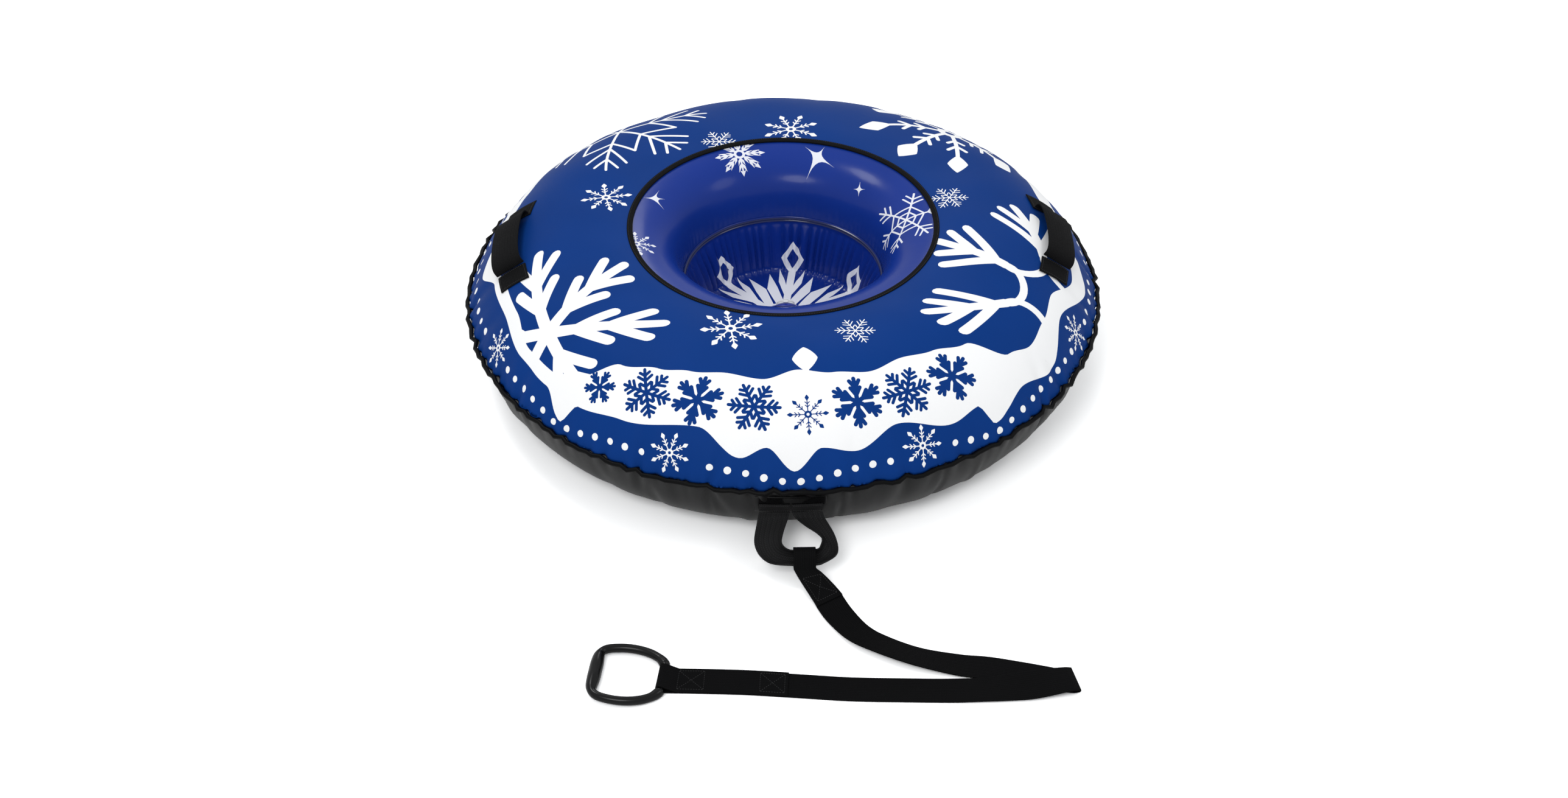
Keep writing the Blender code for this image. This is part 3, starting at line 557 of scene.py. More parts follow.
def stitch_row(name, lines, pitch, body):
    """Beads of thread along lines of (point, normal), each line a list."""
    bpy.ops.mesh.primitive_uv_sphere_add(segments=6, ring_count=4, radius=1)
    bead = bpy.context.object
    shape = points_of(bead)
    faces = [tuple(p.vertices) for p in bead.data.polygons]
    points, beads = [], []
    for line in lines:
        places = np.array([tuple(p) for p, _ in line])
        normals = np.array([tuple(n) for _, n in line])
        arcs = lengths_along(places)
        count = max(1, round(arcs[-1] / pitch))
        step = arcs[-1] / count
        for i in range(count):
            start, end = (i + STITCH_GAP / 2) * step, (i + 1 - STITCH_GAP / 2) * step
            a = np.array(read_at(start, arcs, places))
            b = np.array(read_at(end, arcs, places))
            up = np.array(read_at((start + end) / 2, arcs, normals))
            along = b - a
            length = np.linalg.norm(along)
            along = along / length
            up = up - along * up.dot(along)
            up = up / np.linalg.norm(up)
            side = np.cross(up, along)
            axes = np.stack((along * length / 2, side * STITCH_WIDTH / 2, up * STITCH_HEIGHT))
            beads += [tuple(len(points) + v for v in face) for face in faces]
            points += (shape @ axes + (a + b) / 2).tolist()
    bpy.data.objects.remove(bead)
    finished(new_piece(name, points, beads), name, [thread], body, None)


print("sewing helper ready")

# %% [markdown]
# ## The section of the tube
#
# Everything round the tube hangs on a few section lines, in radius and height: the cover from
# the hole's edge over the crest to the seam, the lower panel from the seam to the ground, and
# the chamber's wall inside the hole. Each line is read by the distance along it, with its
# outward normal, so a pattern or a wrinkle can be laid out flat and then wrapped on. GAP is
# the clearance that pieces keep from one another where they are sewn or welded.

# %% Section lines
GAP = 0.0003
COVER_THICKNESS = 0.0008
BASE_THICKNESS = 0.0010
FILM_THICKNESS = 0.0006
OUTER = 0.550
SEAM = 0.129
HEM_RISE = 0.001
CREST = 0.318
TOP = 0.2695
LAYER = 0.001
RIM_LAYER = 0.0021
HOLE = 0.263
WELD = 0.176
WELD_HEIGHT = 0.155
REST = 0.432
REST_LEVEL = 0.0005
SEAM_SLOPE = math.radians(67)
LOWER_SLOPE = math.radians(86)
SEAM_PULL = 0.087
LOWER_PULL = 0.037
UPPER_HEM = SEAM + HEM_RISE
LOWER_HEM = SEAM - HEM_RISE
TOP_CURVE = (
    (CREST, TOP),
    (CREST + 0.128, TOP),
    (OUTER - SEAM_PULL * math.cos(SEAM_SLOPE), UPPER_HEM + SEAM_PULL * math.sin(SEAM_SLOPE)),
    (OUTER, UPPER_HEM),
)
LOWER_CURVE = (
    (OUTER, LOWER_HEM),
    (OUTER - LOWER_PULL * math.cos(LOWER_SLOPE), LOWER_HEM - LOWER_PULL * math.sin(LOWER_SLOPE)),
    (REST + 0.092, REST_LEVEL),
    (REST, REST_LEVEL),
)
INNER_CURVE = ((WELD, WELD_HEIGHT), (WELD, 0.234), (0.212, TOP - LAYER), (CREST, TOP - LAYER))
UNDER_CURVE = (
    (0.300, REST_LEVEL + LAYER),
    (0.240, REST_LEVEL + LAYER),
    (WELD, 0.076),
    (WELD, WELD_HEIGHT),
)


def bezier(curve, shares):
    """Points of a cubic curve at shares of its run."""
    a, b, c, d = (np.array(p) for p in curve)
    t = np.asarray(shares, float)[:, None]
    return (1 - t) ** 3 * a + 3 * (1 - t) ** 2 * t * b + 3 * (1 - t) * t * t * c + t**3 * d


class Section:
    """A line in radius and height, read by the distance along it."""

    def __init__(self, points):
        self.points = np.array(points, float)
        steps = np.hypot(*np.diff(self.points, axis=0).T)
        self.arcs = np.concatenate(([0.0], np.cumsum(steps)))
        slopes = np.gradient(self.points, self.arcs, axis=0)
        normals = np.stack((-slopes[:, 1], slopes[:, 0]), axis=1)
        self.normals = normals / np.linalg.norm(normals, axis=1)[:, None]
        self.length = float(self.arcs[-1])

    def at(self, arcs, lift=0.0):
        """Radius and height at distances along the line, raised by lift."""
        r, z = read_at(arcs, self.arcs, self.points)
        nr, nz = read_at(arcs, self.arcs, self.normals)
        return r + nr * lift, z + nz * lift

    def point(self, arc, lift=0.0):
        """The same at one distance, as plain numbers."""
        return [float(x) for x in self.at(arc, lift)]

    def raised(self, lifts):
        return Section(self.points + self.normals * np.reshape(lifts, (-1, 1)))

    def arc_of(self, radius):
        """How far along the line a radius lies."""
        order = np.argsort(self.points[:, 0])
        return float(np.interp(radius, self.points[order, 0], self.arcs[order]))

    def area(self):
        """The area that the line sweeps round the middle axis."""
        radii = self.points[:, 0]
        return float(np.sum(np.diff(self.arcs) * math.pi * (radii[1:] + radii[:-1])))


wall = Section(bezier(INNER_CURVE, np.linspace(0, 1, 400)))
rim_arc = wall.arc_of(HOLE)
shoulder = Section([wall.point(rim_arc), *wall.points[wall.arcs >= rim_arc]])
fade = 1 - shoulder.arcs / shoulder.length
shoulder = shoulder.raised(LAYER + (RIM_LAYER - LAYER) * fade)
top_line = Section(bezier(TOP_CURVE, np.linspace(0, 1, 500)))
cover = Section(np.concatenate((shoulder.points[:-1], top_line.points)))
lower = Section(bezier(LOWER_CURVE, np.linspace(0, 1, 300)))
print("cover", round(cover.length, 4), "m, lower side", round(lower.length, 4), "m")

# %% [markdown]
# ## How the seam gathers
#
# The flat panels are eased into a round seam, so they pucker: small even scallops between the
# stitches, and every few centimetres a deeper pinch that runs from the seam up into the blue
# and down into the black. Both panels and the piping read the same two functions, so that
# they stay together. The places are drawn with a fixed seed. A pinch is its turn, its depth,
# its width, how far it reaches from the seam and how much it slants.

# %% Pinches and puckers
draw = random.Random(41)
PINCHES = []
turn = 0.0
while turn < 2 * math.pi - 0.05:
    deep = draw.random() < 0.45
    PINCHES.append((
        turn,
        draw.uniform(0.0068, 0.0105) if deep else draw.uniform(0.0028, 0.0056),
        draw.uniform(0.0058, 0.0088),
        draw.uniform(0.035, 0.060) if deep else draw.uniform(0.014, 0.028),
        draw.uniform(-0.35, 0.35),
    ))
    turn += draw.uniform(0.065, 0.135)
PUCKERS = 120
PUCKER_DEPTH = 0.0044
PUCKER_REACH = 0.018
RIDGE_WIDTH = 2.7
RIDGE_SHARE = 0.46
PINCH_LIFT = 0.42


def round_difference(turns, turn):
    return (turns - turn + np.pi) % (2 * np.pi) - np.pi


def gathers(turns, distances):
    """How far the cloth is drawn in, at a distance from the seam."""
    drawn = np.zeros(np.broadcast(turns, distances).shape)
    for turn, depth, width, reach, slant in PINCHES:
        across = OUTER * round_difference(turns, turn) - slant * distances
        spread = width * (1 + 0.9 * distances / reach)
        fall = np.exp(-distances / reach)
        valley = np.exp(-((across / spread) ** 2))
        ridge = np.exp(-((across / (RIDGE_WIDTH * spread)) ** 2))
        drawn += depth * fall * (valley - RIDGE_SHARE * ridge)
    wobble = 1.4 * np.sin(7 * turns) + 0.9 * np.sin(17 * turns + 1)
    scallop = 0.68 - np.sqrt(np.sin((PUCKERS * turns + wobble) / 2) ** 2 + 0.03)
    uneven = 0.75 + 0.35 * np.sin(31 * turns + 0.4) * np.sin(9 * turns + 2.2)
    drawn += PUCKER_DEPTH * uneven * scallop * np.exp(-distances / PUCKER_REACH)
    return drawn


def seam_rise(turns):
    """How far the seam line waves up and down; each pinch pulls it up."""
    wobble = 1.1 * np.sin(5 * turns) + 0.8 * np.sin(13 * turns + 2)
    waves = 0.0010 * np.sin(PUCKERS / 2 * turns + wobble) + 0.0012 * np.sin(23 * turns + 0.6)
    return waves + PINCH_LIFT * gathers(turns, np.zeros_like(turns))


def swell(turns, arcs):
    """The slow unevenness of cloth over air."""
    return (
        0.0009 * np.sin(6 * turns + 22 * arcs)
        + 0.0007 * np.sin(11 * turns - 31 * arcs + 1.3)
        + 0.0005 * np.sin(19 * turns + 12 * arcs + 0.4)
    )


print(len(PINCHES), "pinches round the seam")

# %% [markdown]
# ## Drawing the print
#
# The print is cut into the cloth's mesh, so that it stays sharp whatever the texture size. A
# snowflake is a handful of simple inked shapes: strokes with round ends, diamonds and bars.
# Each is a list of flat points about the middle of its flake. One arm is drawn and turned.

# %% Inked shapes
def stroke(start, end, width, end_width=None, caps=5):
    """A line of ink with round ends."""
    start, end = np.array(start, float), np.array(end, float)
    end_width = width if end_width is None else end_width
    heading = math.atan2(*(end - start)[::-1])
    points = []
    for middle, half, first in ((end, end_width / 2, -1), (start, width / 2, 1)):
        for i in range(caps + 1):
            angle = heading + math.pi * (first / 2 + i / caps)
            points.append(middle + half * np.array((math.cos(angle), math.sin(angle))))
    return np.array(points)


def blob(middle, half_length, half_width, fullness, count):
    """A diamond with soft corners that stands along +y, or an ellipse where fullness is 2."""
    turns = 2 * np.pi * np.arange(count) / count
    x = half_length * np.sign(np.cos(turns)) * np.abs(np.cos(turns)) ** (2 / fullness)
    y = half_width * np.sign(np.sin(turns)) * np.abs(np.sin(turns)) ** (2 / fullness)
    return np.stack((-y, x), 1) + np.array(middle)


def spot(radius, count):
    """A round spot."""
    return around(2 * np.pi * np.arange(count) / count, radius)


def hub(radius, outer, inner, counts=(20, 12)):
    """A ring of ink about the middle of a flake: a spot, with a smaller one left blue."""
    return [(radius * spot(outer, counts[0]), 1), (radius * spot(inner, counts[1]), 0)]


def bent(arm, arms, radius, spin_deg=0):
    """One arm, turned to make a flake of that radius. The arm points along +y."""
    shapes = []
    for number in range(arms):
        turn = math.radians(spin_deg) + 2 * math.pi * number / arms
        spin = np.array(((math.cos(turn), math.sin(turn)), (-math.sin(turn), math.cos(turn))))
        shapes += [(radius * points @ spin, ink) for points, ink in arm]
    return shapes


def twigs(ends, width, caps=5):
    """Strokes off an arm on both sides: the height where each leaves it, and its end."""
    return [(stroke((0, low), (side * x, y), width, None, caps), 1)
            for side in (-1, 1) for low, (x, y) in ends]


def barbs(pairs, width, slope_deg):
    """Pairs of strokes off an arm: where they leave it and how long they are."""
    shapes = []
    lean = math.radians(slope_deg)
    for place, length in pairs:
        for side in (-1, 1):
            tip = (side * length * math.sin(lean), place + length * math.cos(lean))
            shapes.append((stroke((0, place), tip, width), 1))
    return shapes


def leaves(outlines):
    """Leaf outlines beside an arm, on both sides."""
    return [(np.array([(side * x, y) for x, y in outline]), 1)
            for side in (-1, 1) for outline in outlines]


def crystal(radius, spin=0):
    """Eight short arms, each ending in a soft diamond, about a small ring."""
    arm = [(stroke((0, 0.14), (0, 0.70), 0.048), 1), (blob((0, 0.84), 0.16, 0.102, 1.15, 16), 1)]
    arm += barbs([(0.36, 0.14), (0.52, 0.15)], 0.046, 45)
    return bent(arm, 8, radius, spin) + hub(radius, 0.18, 0.075)


def lace(radius, spin=0, weight=1.0):
    """Six fine arms, thick with barbs."""
    arm = [(stroke((0, 0), (0, 0.97), 0.055 * weight), 1)]
    arm += barbs([(0.24, 0.26), (0.48, 0.34), (0.70, 0.24)], 0.052 * weight, 52)
    return bent(arm, 6, radius, spin)


def frond(radius, spin=0, weight=1.0):
    """Six branches of broad round-ended fingers."""
    width = 0.100 * weight
    arm = [(stroke((0, 0), (0, 0.95), 0.115 * weight, width, 7), 1)]
    arm += twigs([(0.26, (0.178, 0.565)), (0.55, (0.182, 0.857))], width, 7)
    return bent(arm, 6, radius, spin)


def fan(radius, spin=0):
    """Six fans of five fingers on stalks that a ring of bows joins."""
    arm = [(stroke((0, 0.42), (0, 0.72), 0.084), 1), (stroke((0, 0.66), (0, 0.960), 0.080), 1)]
    arm += twigs([(0.50, (0.258, 0.805)), (0.68, (0.145, 0.905))], 0.078)
    near = np.array((0, 0.42))
    far = 0.42 * np.array((math.sin(math.pi / 3), math.cos(math.pi / 3)))
    inward = -(near + far) / np.linalg.norm(near + far)
    bow = []
    for turn in math.pi * np.arange(15) / 14:
        sag = inward * 0.130 * math.sin(turn)
        bow.append(near + (far - near) * (1 - math.cos(turn)) / 2 + sag)
    arm += [(stroke(p, q, 0.060), 1) for p, q in zip(bow, bow[1:])]
    return bent(arm, 6, radius, spin)


def feather(radius, spin=0):
    """Six long feathered arms round a six-pointed star drawn in open lines."""
    arm = [(stroke((0, 0.02), (0, 0.98), 0.036), 1)]
    arm += twigs([(0.50, (0.262, 0.835)), (0.76, (0.155, 0.935)), (0.36, (0.335, 0.580))], 0.034)
    return bent(arm, 6, radius, spin)


def lantern(radius, spin=0):
    """Eight arms, each with two pairs of barbs and a broad soft diamond at its end."""
    tip = blob((0, 0.836), 0.163, 0.132, 1.18, 24)
    arm = [(stroke((0, 0.05), (0, 0.72), 0.052), 1), (tip, 1)]
    arm += barbs([(0.30, 0.13), (0.46, 0.15)], 0.046, 48)
    return bent(arm, 8, radius, spin) + hub(radius, 0.15, 0.06)


def burst(radius, spin=0):
    """Eight arms of pointed leaves about a ring."""
    arm = [(stroke((0, 0.16), (0, 0.80), 0.060), 1)]
    arm.append((np.array([(0, 1.0), (0.115, 0.74), (0, 0.80), (-0.115, 0.74)]), 1))
    arm += leaves([
        [(0, 0.56), (0.160, 0.82), (0.120, 0.56), (0, 0.42)],
        [(0, 0.30), (0.135, 0.54), (0.110, 0.32), (0, 0.18)],
    ])
    return bent(arm, 8, radius, spin) + hub(radius, 0.22, 0.12, (20, 14))


def lattice(radius, spin=0):
    """Six barbed arms on a net of small hexagons."""
    arm = [(stroke((0, 0), (0, 0.97), 0.048), 1)]
    arm += barbs([(0.56, 0.30), (0.74, 0.22)], 0.046, 50)
    for reach in (0.26, 0.46):
        far = (reach * math.sin(math.pi / 3), reach * math.cos(math.pi / 3))
        arm.append((stroke((0, reach), far, 0.044), 1))
    return bent(arm, 6, radius, spin)


def spark(tips, pull=0.12):
    """A four-pointed star from its points' (reach, direction); its sides are hollow."""
    ends = []
    for reach, way in tips:
        ends.append(reach * np.array((math.cos(math.radians(way)), math.sin(math.radians(way)))))
    points = []
    for a, b in zip(ends, ends[1:] + ends[:1]):
        points += bezier((a, pull * a, pull * b, b), np.arange(8) / 8).tolist()
    return [(np.array(points), 1)]


print("flake shapes:", len(crystal(1)), len(lace(1)), len(frond(1)), len(feather(1)))

# %% [markdown]
# ## Cutting the print into the mesh
#
# A Delaunay triangulation takes a cloud of grid points and the edges of the shapes, and
# returns triangles that never cross an edge. The middle of each triangle is then looked up in
# the outlines, and the last shape painted over it gives its ink: 0 is the cloth, 1 is the
# print and -1 is a hole.

# %% Triangles that follow the print
EDGE_STEP = 0.006
CLEARANCE = 0.0024
CUT_TOLERANCE = 1e-6


def split_edges(points, step=EDGE_STEP):
    """The same outline with its long edges cut into steps."""
    parts = []
    for a, b in zip(points, np.roll(points, -1, axis=0)):
        count = max(1, math.ceil(np.linalg.norm(b - a) / step))
        parts += [a + (b - a) * i / count for i in range(count)]
    return np.array(parts)


def rings_of(radii, columns):
    """Flat rings of ground points, each second one turned by half a column."""
    rings = []
    for row, radius in enumerate(radii):
        turns = 2 * np.pi * (np.arange(columns) + 0.5 * (row % 2)) / columns
        rings.append(around(turns, radius))
    return np.concatenate(rings)


def within(places, outline):
    """Which places lie inside an outline: a ray to one side crosses it an odd number of times."""
    boxed = (places > outline.min(axis=0)) & (places < outline.max(axis=0))
    near = np.nonzero(np.all(boxed, axis=1))[0]
    x, y = places[near, 0, None], places[near, 1, None]
    (ax, ay), (bx, by) = outline.T, np.roll(outline, -1, axis=0).T
    rise = np.where(by == ay, 1.0, by - ay)
    crossed = ((ay > y) != (by > y)) & (x < (bx - ax) * (y - ay) / rise + ax)
    return near[crossed.sum(axis=1) % 2 == 1]


def printed_mesh(name, ground, shapes, lay, hole=0.0):
    """A mesh of ground points and inked shapes beyond a hole's radius, laid in space by lay."""
    outlines = [split_edges(points) for points, _ in shapes]
    edge_points = np.concatenate(outlines)
    tree = kdtree.KDTree(len(edge_points))
    for i, p in enumerate(edge_points):
        tree.insert((*p, 0), i)
    tree.balance()
    ground = ground[[tree.find((*p, 0))[2] > CLEARANCE for p in ground]]
    edges = []
    first = len(ground)
    for outline in outlines:
        count = len(outline)
        edges += [(first + i, first + (i + 1) % count) for i in range(count)]
        first += count
    flat = [Vector(p) for p in np.concatenate((ground, edge_points))]
    result = geometry.delaunay_2d_cdt(flat, edges, [], 0, CUT_TOLERANCE, False)
    places = np.array([tuple(p) for p in result[0]])
    triangles = np.array(result[2])
    middles = places[triangles].mean(axis=1)
    inks = np.zeros(len(triangles), dtype=int)
    for outline, (_, ink) in zip(outlines, shapes):
        inks[within(middles, outline)] = ink
    stays = (np.hypot(*middles.T) > hole * 0.99999) & (inks >= 0)
    triangles, inks = triangles[stays], inks[stays]
    piece = new_piece(name, lay(places).tolist(), triangles.tolist())
    piece.data.polygons.foreach_set("material_index", inks)
    write_uv(piece, places)
    edit(piece, bpy.ops.mesh.delete_loose)
    print(name, len(places), "points", len(triangles), "triangles")
    return piece


print("print cutter ready")

# %% [markdown]
# ## The tow strap, ring and loop
#
# The strap is a real length of 50 mm webbing, so it is laid first. It leaves the gathered
# bight of the loop, lies on the ground, folds back on itself at the right and ends at the
# ring. At both ends it turns round what it holds and is sewn down on itself.

# %% The strap's route: places, the turn of its width, and its roll, in degrees
WEBBING_WIDTH = 0.050
WEBBING_THICKNESS = 0.0020
STRAP_ROUTE = [
    (0.0205, -0.6300, 0.0330, 0, 0),
    (0.0340, -0.6450, 0.0230, 22, 0),
    (0.0535, -0.6690, 0.0095, 33, 0),
    (0.0730, -0.7060, 0.0040, 33, -3),
    (0.1007, -0.7490, 0.0060, 42, -8),
    (0.1363, -0.7770, 0.0075, 57, -12),
    (0.1885, -0.8040, 0.0075, 67, -12),
    (0.2500, -0.8195, 0.0035, 74, -5),
    (0.2952, -0.8262, 0.0018, 77, -1),
    (0.3400, -0.8370, 0.0013, 80, 0),
    (0.3900, -0.8500, 0.0013, 90, 0),
    (0.4200, -0.8575, 0.0016, 100, 0),
    (0.4283, -0.8600, 0.0075, 102, 0),
    (0.4200, -0.8635, 0.0134, 99, 0),
    (0.3642, -0.8725, 0.0120, 93, 14),
    (0.3272, -0.8735, 0.0075, 91, 8),
    (0.2873, -0.8745, 0.0044, 90, 0),
    (0.2400, -0.8735, 0.0022, 89, 0),
    (0.1788, -0.8708, 0.0013, 88, 0),
    (0.0860, -0.8664, 0.0013, 87, 0),
    (0.0118, -0.8586, 0.0013, 86, 0),
    (-0.0700, -0.8500, 0.0013, 87, 0),
    (-0.1400, -0.8455, 0.0013, 86, 0),
    (-0.2041, -0.8427, 0.0013, 82, 0),
]
LOOP_ROOT = Vector((0, -0.54108, 0.07665))
BIGHT_X = 0.0205
BUNDLE_RADIUS = 0.0125
EYE_WIDTH = 0.036
LAYER_STEP = 0.0024
LOOP_FLAP_LENGTH = 0.068
RING_FLAP_LENGTH = 0.195
RING_EYE_LENGTH = 0.020
RING_BAR_RADIUS = 0.0050
STITCHED_GAP = 0.0006
ACROSS = Vector((1, 0, 0))
UP = Vector((0, 0, 1))
route = smooth_route(STRAP_ROUTE, 0.006)
route_lengths = lengths_along(route[:, :3])
strap_length = float(route_lengths[-1])
print("strap", round(strap_length, 3), "m between its eyes")


# %% The loop's stations: shares across, outwards and down, the turn of its width, its curl
LOOP_REACH = 0.061
LOOP_DROP = 0.0467
LOOP_SHARES = [
    (-0.525, 0.00, 0.00, 0, 0.0),
    (-0.585, 0.08, 0.26, 4, 0.0),
    (-0.725, 0.61, 0.57, 20, 0.2),
    (-0.540, 0.90, 0.87, 55, 0.6),
    (-0.080, 1.00, 1.00, 90, 1.0),
    (0.410, 1.00, 1.00, 90, 1.0),
    (0.800, 1.00, 1.00, 90, 1.0),
    (0.980, 0.95, 0.94, 100, 0.9),
    (1.200, 0.77, 0.72, 130, 0.6),
    (0.965, 0.48, 0.40, 160, 0.2),
    (0.625, 0.08, 0.21, 176, 0.0),
    (0.525, 0.00, 0.00, 180, 0.0),
]


def loop_stations(step):
    """Stations of the loop, about a step apart."""
    rows = []
    for sideways, reach, drop, turn, curl in LOOP_SHARES:
        y = LOOP_ROOT.y - LOOP_REACH * reach
        z = LOOP_ROOT.z - LOOP_DROP * drop
        rows.append((sideways * WEBBING_WIDTH, y, z, turn, curl * WEBBING_WIDTH / BUNDLE_RADIUS))
    inward = Vector((0, LOOP_REACH, LOOP_DROP)).normalized()
    up = ACROSS.cross(inward)
    stations = []
    for row in smooth_route(rows, step):
        turn = math.radians(row[3])
        across = (ACROSS * math.cos(turn) + inward * math.sin(turn)).normalized()
        stations.append((Vector(row[:3]), across, WEBBING_WIDTH / 2, max(float(row[4]), 0), up))
    return stations


middle, _, _, _, up = min(loop_stations(0.012), key=lambda s: abs(s[0].x - BIGHT_X))
bundle = Vector((BIGHT_X, middle.y, middle.z)) + up * BUNDLE_RADIUS
print("the loop's bundle is at", [round(c, 4) for c in bundle])


# %% Stations of the strap: over its own end, round the loop, along, round the ring, and back
def strap_station(row, half, raised=0.0):
    """The strap's station at a row of its route, on the ground or raised onto itself."""
    heading = math.radians(row[3])
    roll = math.radians(row[4])
    flat = Vector((math.cos(heading), math.sin(heading), 0))
    across = flat * math.cos(roll) + UP * math.sin(roll)
    return Vector(row[:3]) + UP * raised, across, half, 0, UP


def eye(centre, ahead, up, across, radius, span_deg, half):
    """Stations round a bar: angles run from ahead towards up."""
    stations = []
    for angle in np.radians(np.linspace(*span_deg, 23)).tolist():
        point = centre + ahead * radius * math.cos(angle) + up * radius * math.sin(angle)
        stations.append((point, across, half, 0, up))
    return stations


def half_at(length):
    """Half the strap's width: it is folded in at the loop and spreads along its flap."""
    share = min(length / LOOP_FLAP_LENGTH, 1)
    return (EYE_WIDTH + (WEBBING_WIDTH - EYE_WIDTH) * share) / 2


steps = list(zip(route, route_lengths))
loop_flap = [(row, at) for row, at in reversed(steps) if at <= LOOP_FLAP_LENGTH]
stations = [strap_station(row, half_at(at), LAYER_STEP) for row, at in loop_flap]
first = Vector(route[0][:3])
ahead = Vector((0, first.y - bundle.y, first.z - bundle.z)).normalized()
up = ahead.cross(ACROSS) if ACROSS.cross(ahead).z < 0 else ACROSS.cross(ahead)
eye_radius = BUNDLE_RADIUS + WEBBING_THICKNESS + 2 * STITCHED_GAP
stations += eye(bundle, ahead, up, ACROSS, eye_radius, (55, 305), EYE_WIDTH / 2)
stations += [strap_station(row, half_at(at)) for row, at in steps[:-1]]
end = route[-1]
ring_eye_radius = WEBBING_THICKNESS / 2 + STITCHED_GAP + RING_BAR_RADIUS
ring_bar = Vector((end[0], end[1], end[2] + ring_eye_radius))
heading = math.radians(end[3])
bar_across = Vector((math.cos(heading), math.sin(heading), 0))
bar_ahead = Vector((-bar_across.y, bar_across.x, 0))
half = WEBBING_WIDTH / 2
stations += eye(ring_bar, bar_ahead, UP, bar_across, ring_eye_radius, (-90, 120), half)
for row, at in reversed(steps):
    if RING_EYE_LENGTH < strap_length - at <= RING_FLAP_LENGTH:
        stations.append(strap_station(row, half, LAYER_STEP))
print("the ring's bar is at", [round(c, 4) for c in ring_bar])

# %% The strap itself
strap = laid_webbing(stations, 6, WEBBING_THICKNESS)
finished(strap, "strap", [webbing], "leash", "tow_strap")

# %% [markdown]
# ## The hand ring
#
# The ring is one D-shaped moulding: a slim bar that the strap's eye wraps, collars that keep
# the strap centred, two arms and a thick grip. A torus already has the right loop of faces,
# so its rings are moved onto the D's centre line and given the thickness of each part.

# %% The hand ring's outline: how far from the bar, how far to a side, and its radius
RING_COLLAR = 0.0080
RING_ARM = 0.0070
RING_GRIP_END = 0.0090
RING_GRIP = 0.0105
RING_LENGTH = 0.104
RING_YAW = math.radians(172)
RING_STEPS = 180
half_bar, half_width, half_grip = 0.053 / 2, 0.107 / 2, 0.064 / 2
corner = RING_LENGTH - (half_width - half_grip)
arm_curve = (
    (0.0, half_bar + RING_COLLAR / 4),
    (corner * 0.15, half_width),
    (corner * 0.65, half_width + RING_ARM),
    (corner, half_width),
)
bend_curve = (
    (corner, half_width),
    (corner + (RING_LENGTH - corner) * 0.65, half_width - RING_ARM / 3),
    (RING_LENGTH, half_grip + (half_width - half_grip) * 0.55),
    (RING_LENGTH, half_grip),
)
half_ring = [(0.0, half_bar * share, RING_BAR_RADIUS) for share in (0.0, 0.5, 0.94)]
for curve, shares, radius in (
    (arm_curve, (0.0, 0.10), RING_COLLAR),
    (arm_curve, (0.22, 0.4, 0.6, 0.8, 1), RING_ARM),
    (bend_curve, (0.33, 0.66), RING_ARM),
    (bend_curve, (1,), RING_GRIP_END),
):
    half_ring += [(*place, radius) for place in bezier(curve, shares)]
half_ring.append((RING_LENGTH, half_grip / 2, RING_GRIP))
other_half = [(u, -v, r) for u, v, r in half_ring[:0:-1]]
whole_ring = half_ring + [(RING_LENGTH, 0.0, RING_GRIP)] + other_half


def closed_path(rows, count):
    """A closed soft curve through rows, cut into even steps."""
    rows = np.array(rows)
    dense = []
    for i in range(len(rows)):
        four = [rows[(i + k) % len(rows)] for k in (-1, 0, 1, 2)]
        dense += [between(*four, t) for t in np.linspace(0, 1, 12, endpoint=False)]
    dense = np.array(dense + [dense[0]])
    arcs = lengths_along(dense[:, :2])
    return np.stack(read_at(np.linspace(0, arcs[-1], count, endpoint=False), arcs, dense), 1)


ring_path = closed_path(whole_ring, RING_STEPS)
print("the ring's outline has", len(whole_ring), "places")

# %% The hand ring, from a torus
RING_RIDGE = 0.012
bpy.ops.mesh.primitive_torus_add(
    major_segments=RING_STEPS, minor_segments=24, major_radius=1, minor_radius=0.25)
ring = bpy.context.object
flat = points_of(ring)
turns, radii = turns_of(flat)
major = np.round(turns / (2 * np.pi) * RING_STEPS).astype(int) % RING_STEPS
minor = np.arctan2(flat[:, 2], radii - 1)
slopes = np.roll(ring_path, -1, axis=0) - np.roll(ring_path, 1, axis=0)
slopes = slopes[:, :2] / np.linalg.norm(slopes[:, :2], axis=1)[:, None]
outward = np.stack((slopes[:, 1], -slopes[:, 0]), 1)
if outward[0] @ (ring_path[0, :2] - np.array((RING_LENGTH / 2, 0))) < 0:
    outward = -outward
mould_line = np.abs(np.sin(minor)) < 0.13
thickness = ring_path[major, 2] * (1 + RING_RIDGE * mould_line)
u, v = (ring_path[major, :2] + outward[major] * (thickness * np.cos(minor))[:, None]).T
rise = max(RING_GRIP + GAP - ring_bar.z, 0) * ring_path[major, 0] / RING_LENGTH
ring_ahead = np.array((math.cos(RING_YAW), math.sin(RING_YAW), 0))
ring_side = np.array((math.sin(RING_YAW), -math.cos(RING_YAW), 0))
places = np.array(ring_bar) + np.outer(u, ring_ahead) + np.outer(v, ring_side)
places[:, 2] += rise + thickness * np.sin(minor)
move_points(ring, places)
edit(ring, bpy.ops.mesh.normals_make_consistent, inside=False)
smooth(ring, 60)
finished(ring, "hand_ring", [ring_plastic], "ring", "tow_ring")

# %% The strap's facts
eye_back = bundle - ahead * (BUNDLE_RADIUS + WEBBING_THICKNESS)
middle_line = [tuple(eye_back), tuple(bundle)] + [tuple(row[:3]) for row in route]
whole_length = strap_length + (bundle - eye_back).length + (Vector(middle_line[2]) - bundle).length
print("the strap is", round(whole_length, 3), "m long from the loop's bundle to the ring's bar")


# %% Stitching on the strap
FLAP_TOP = LAYER_STEP + WEBBING_THICKNESS / 2
BOX_SIDE = 0.78


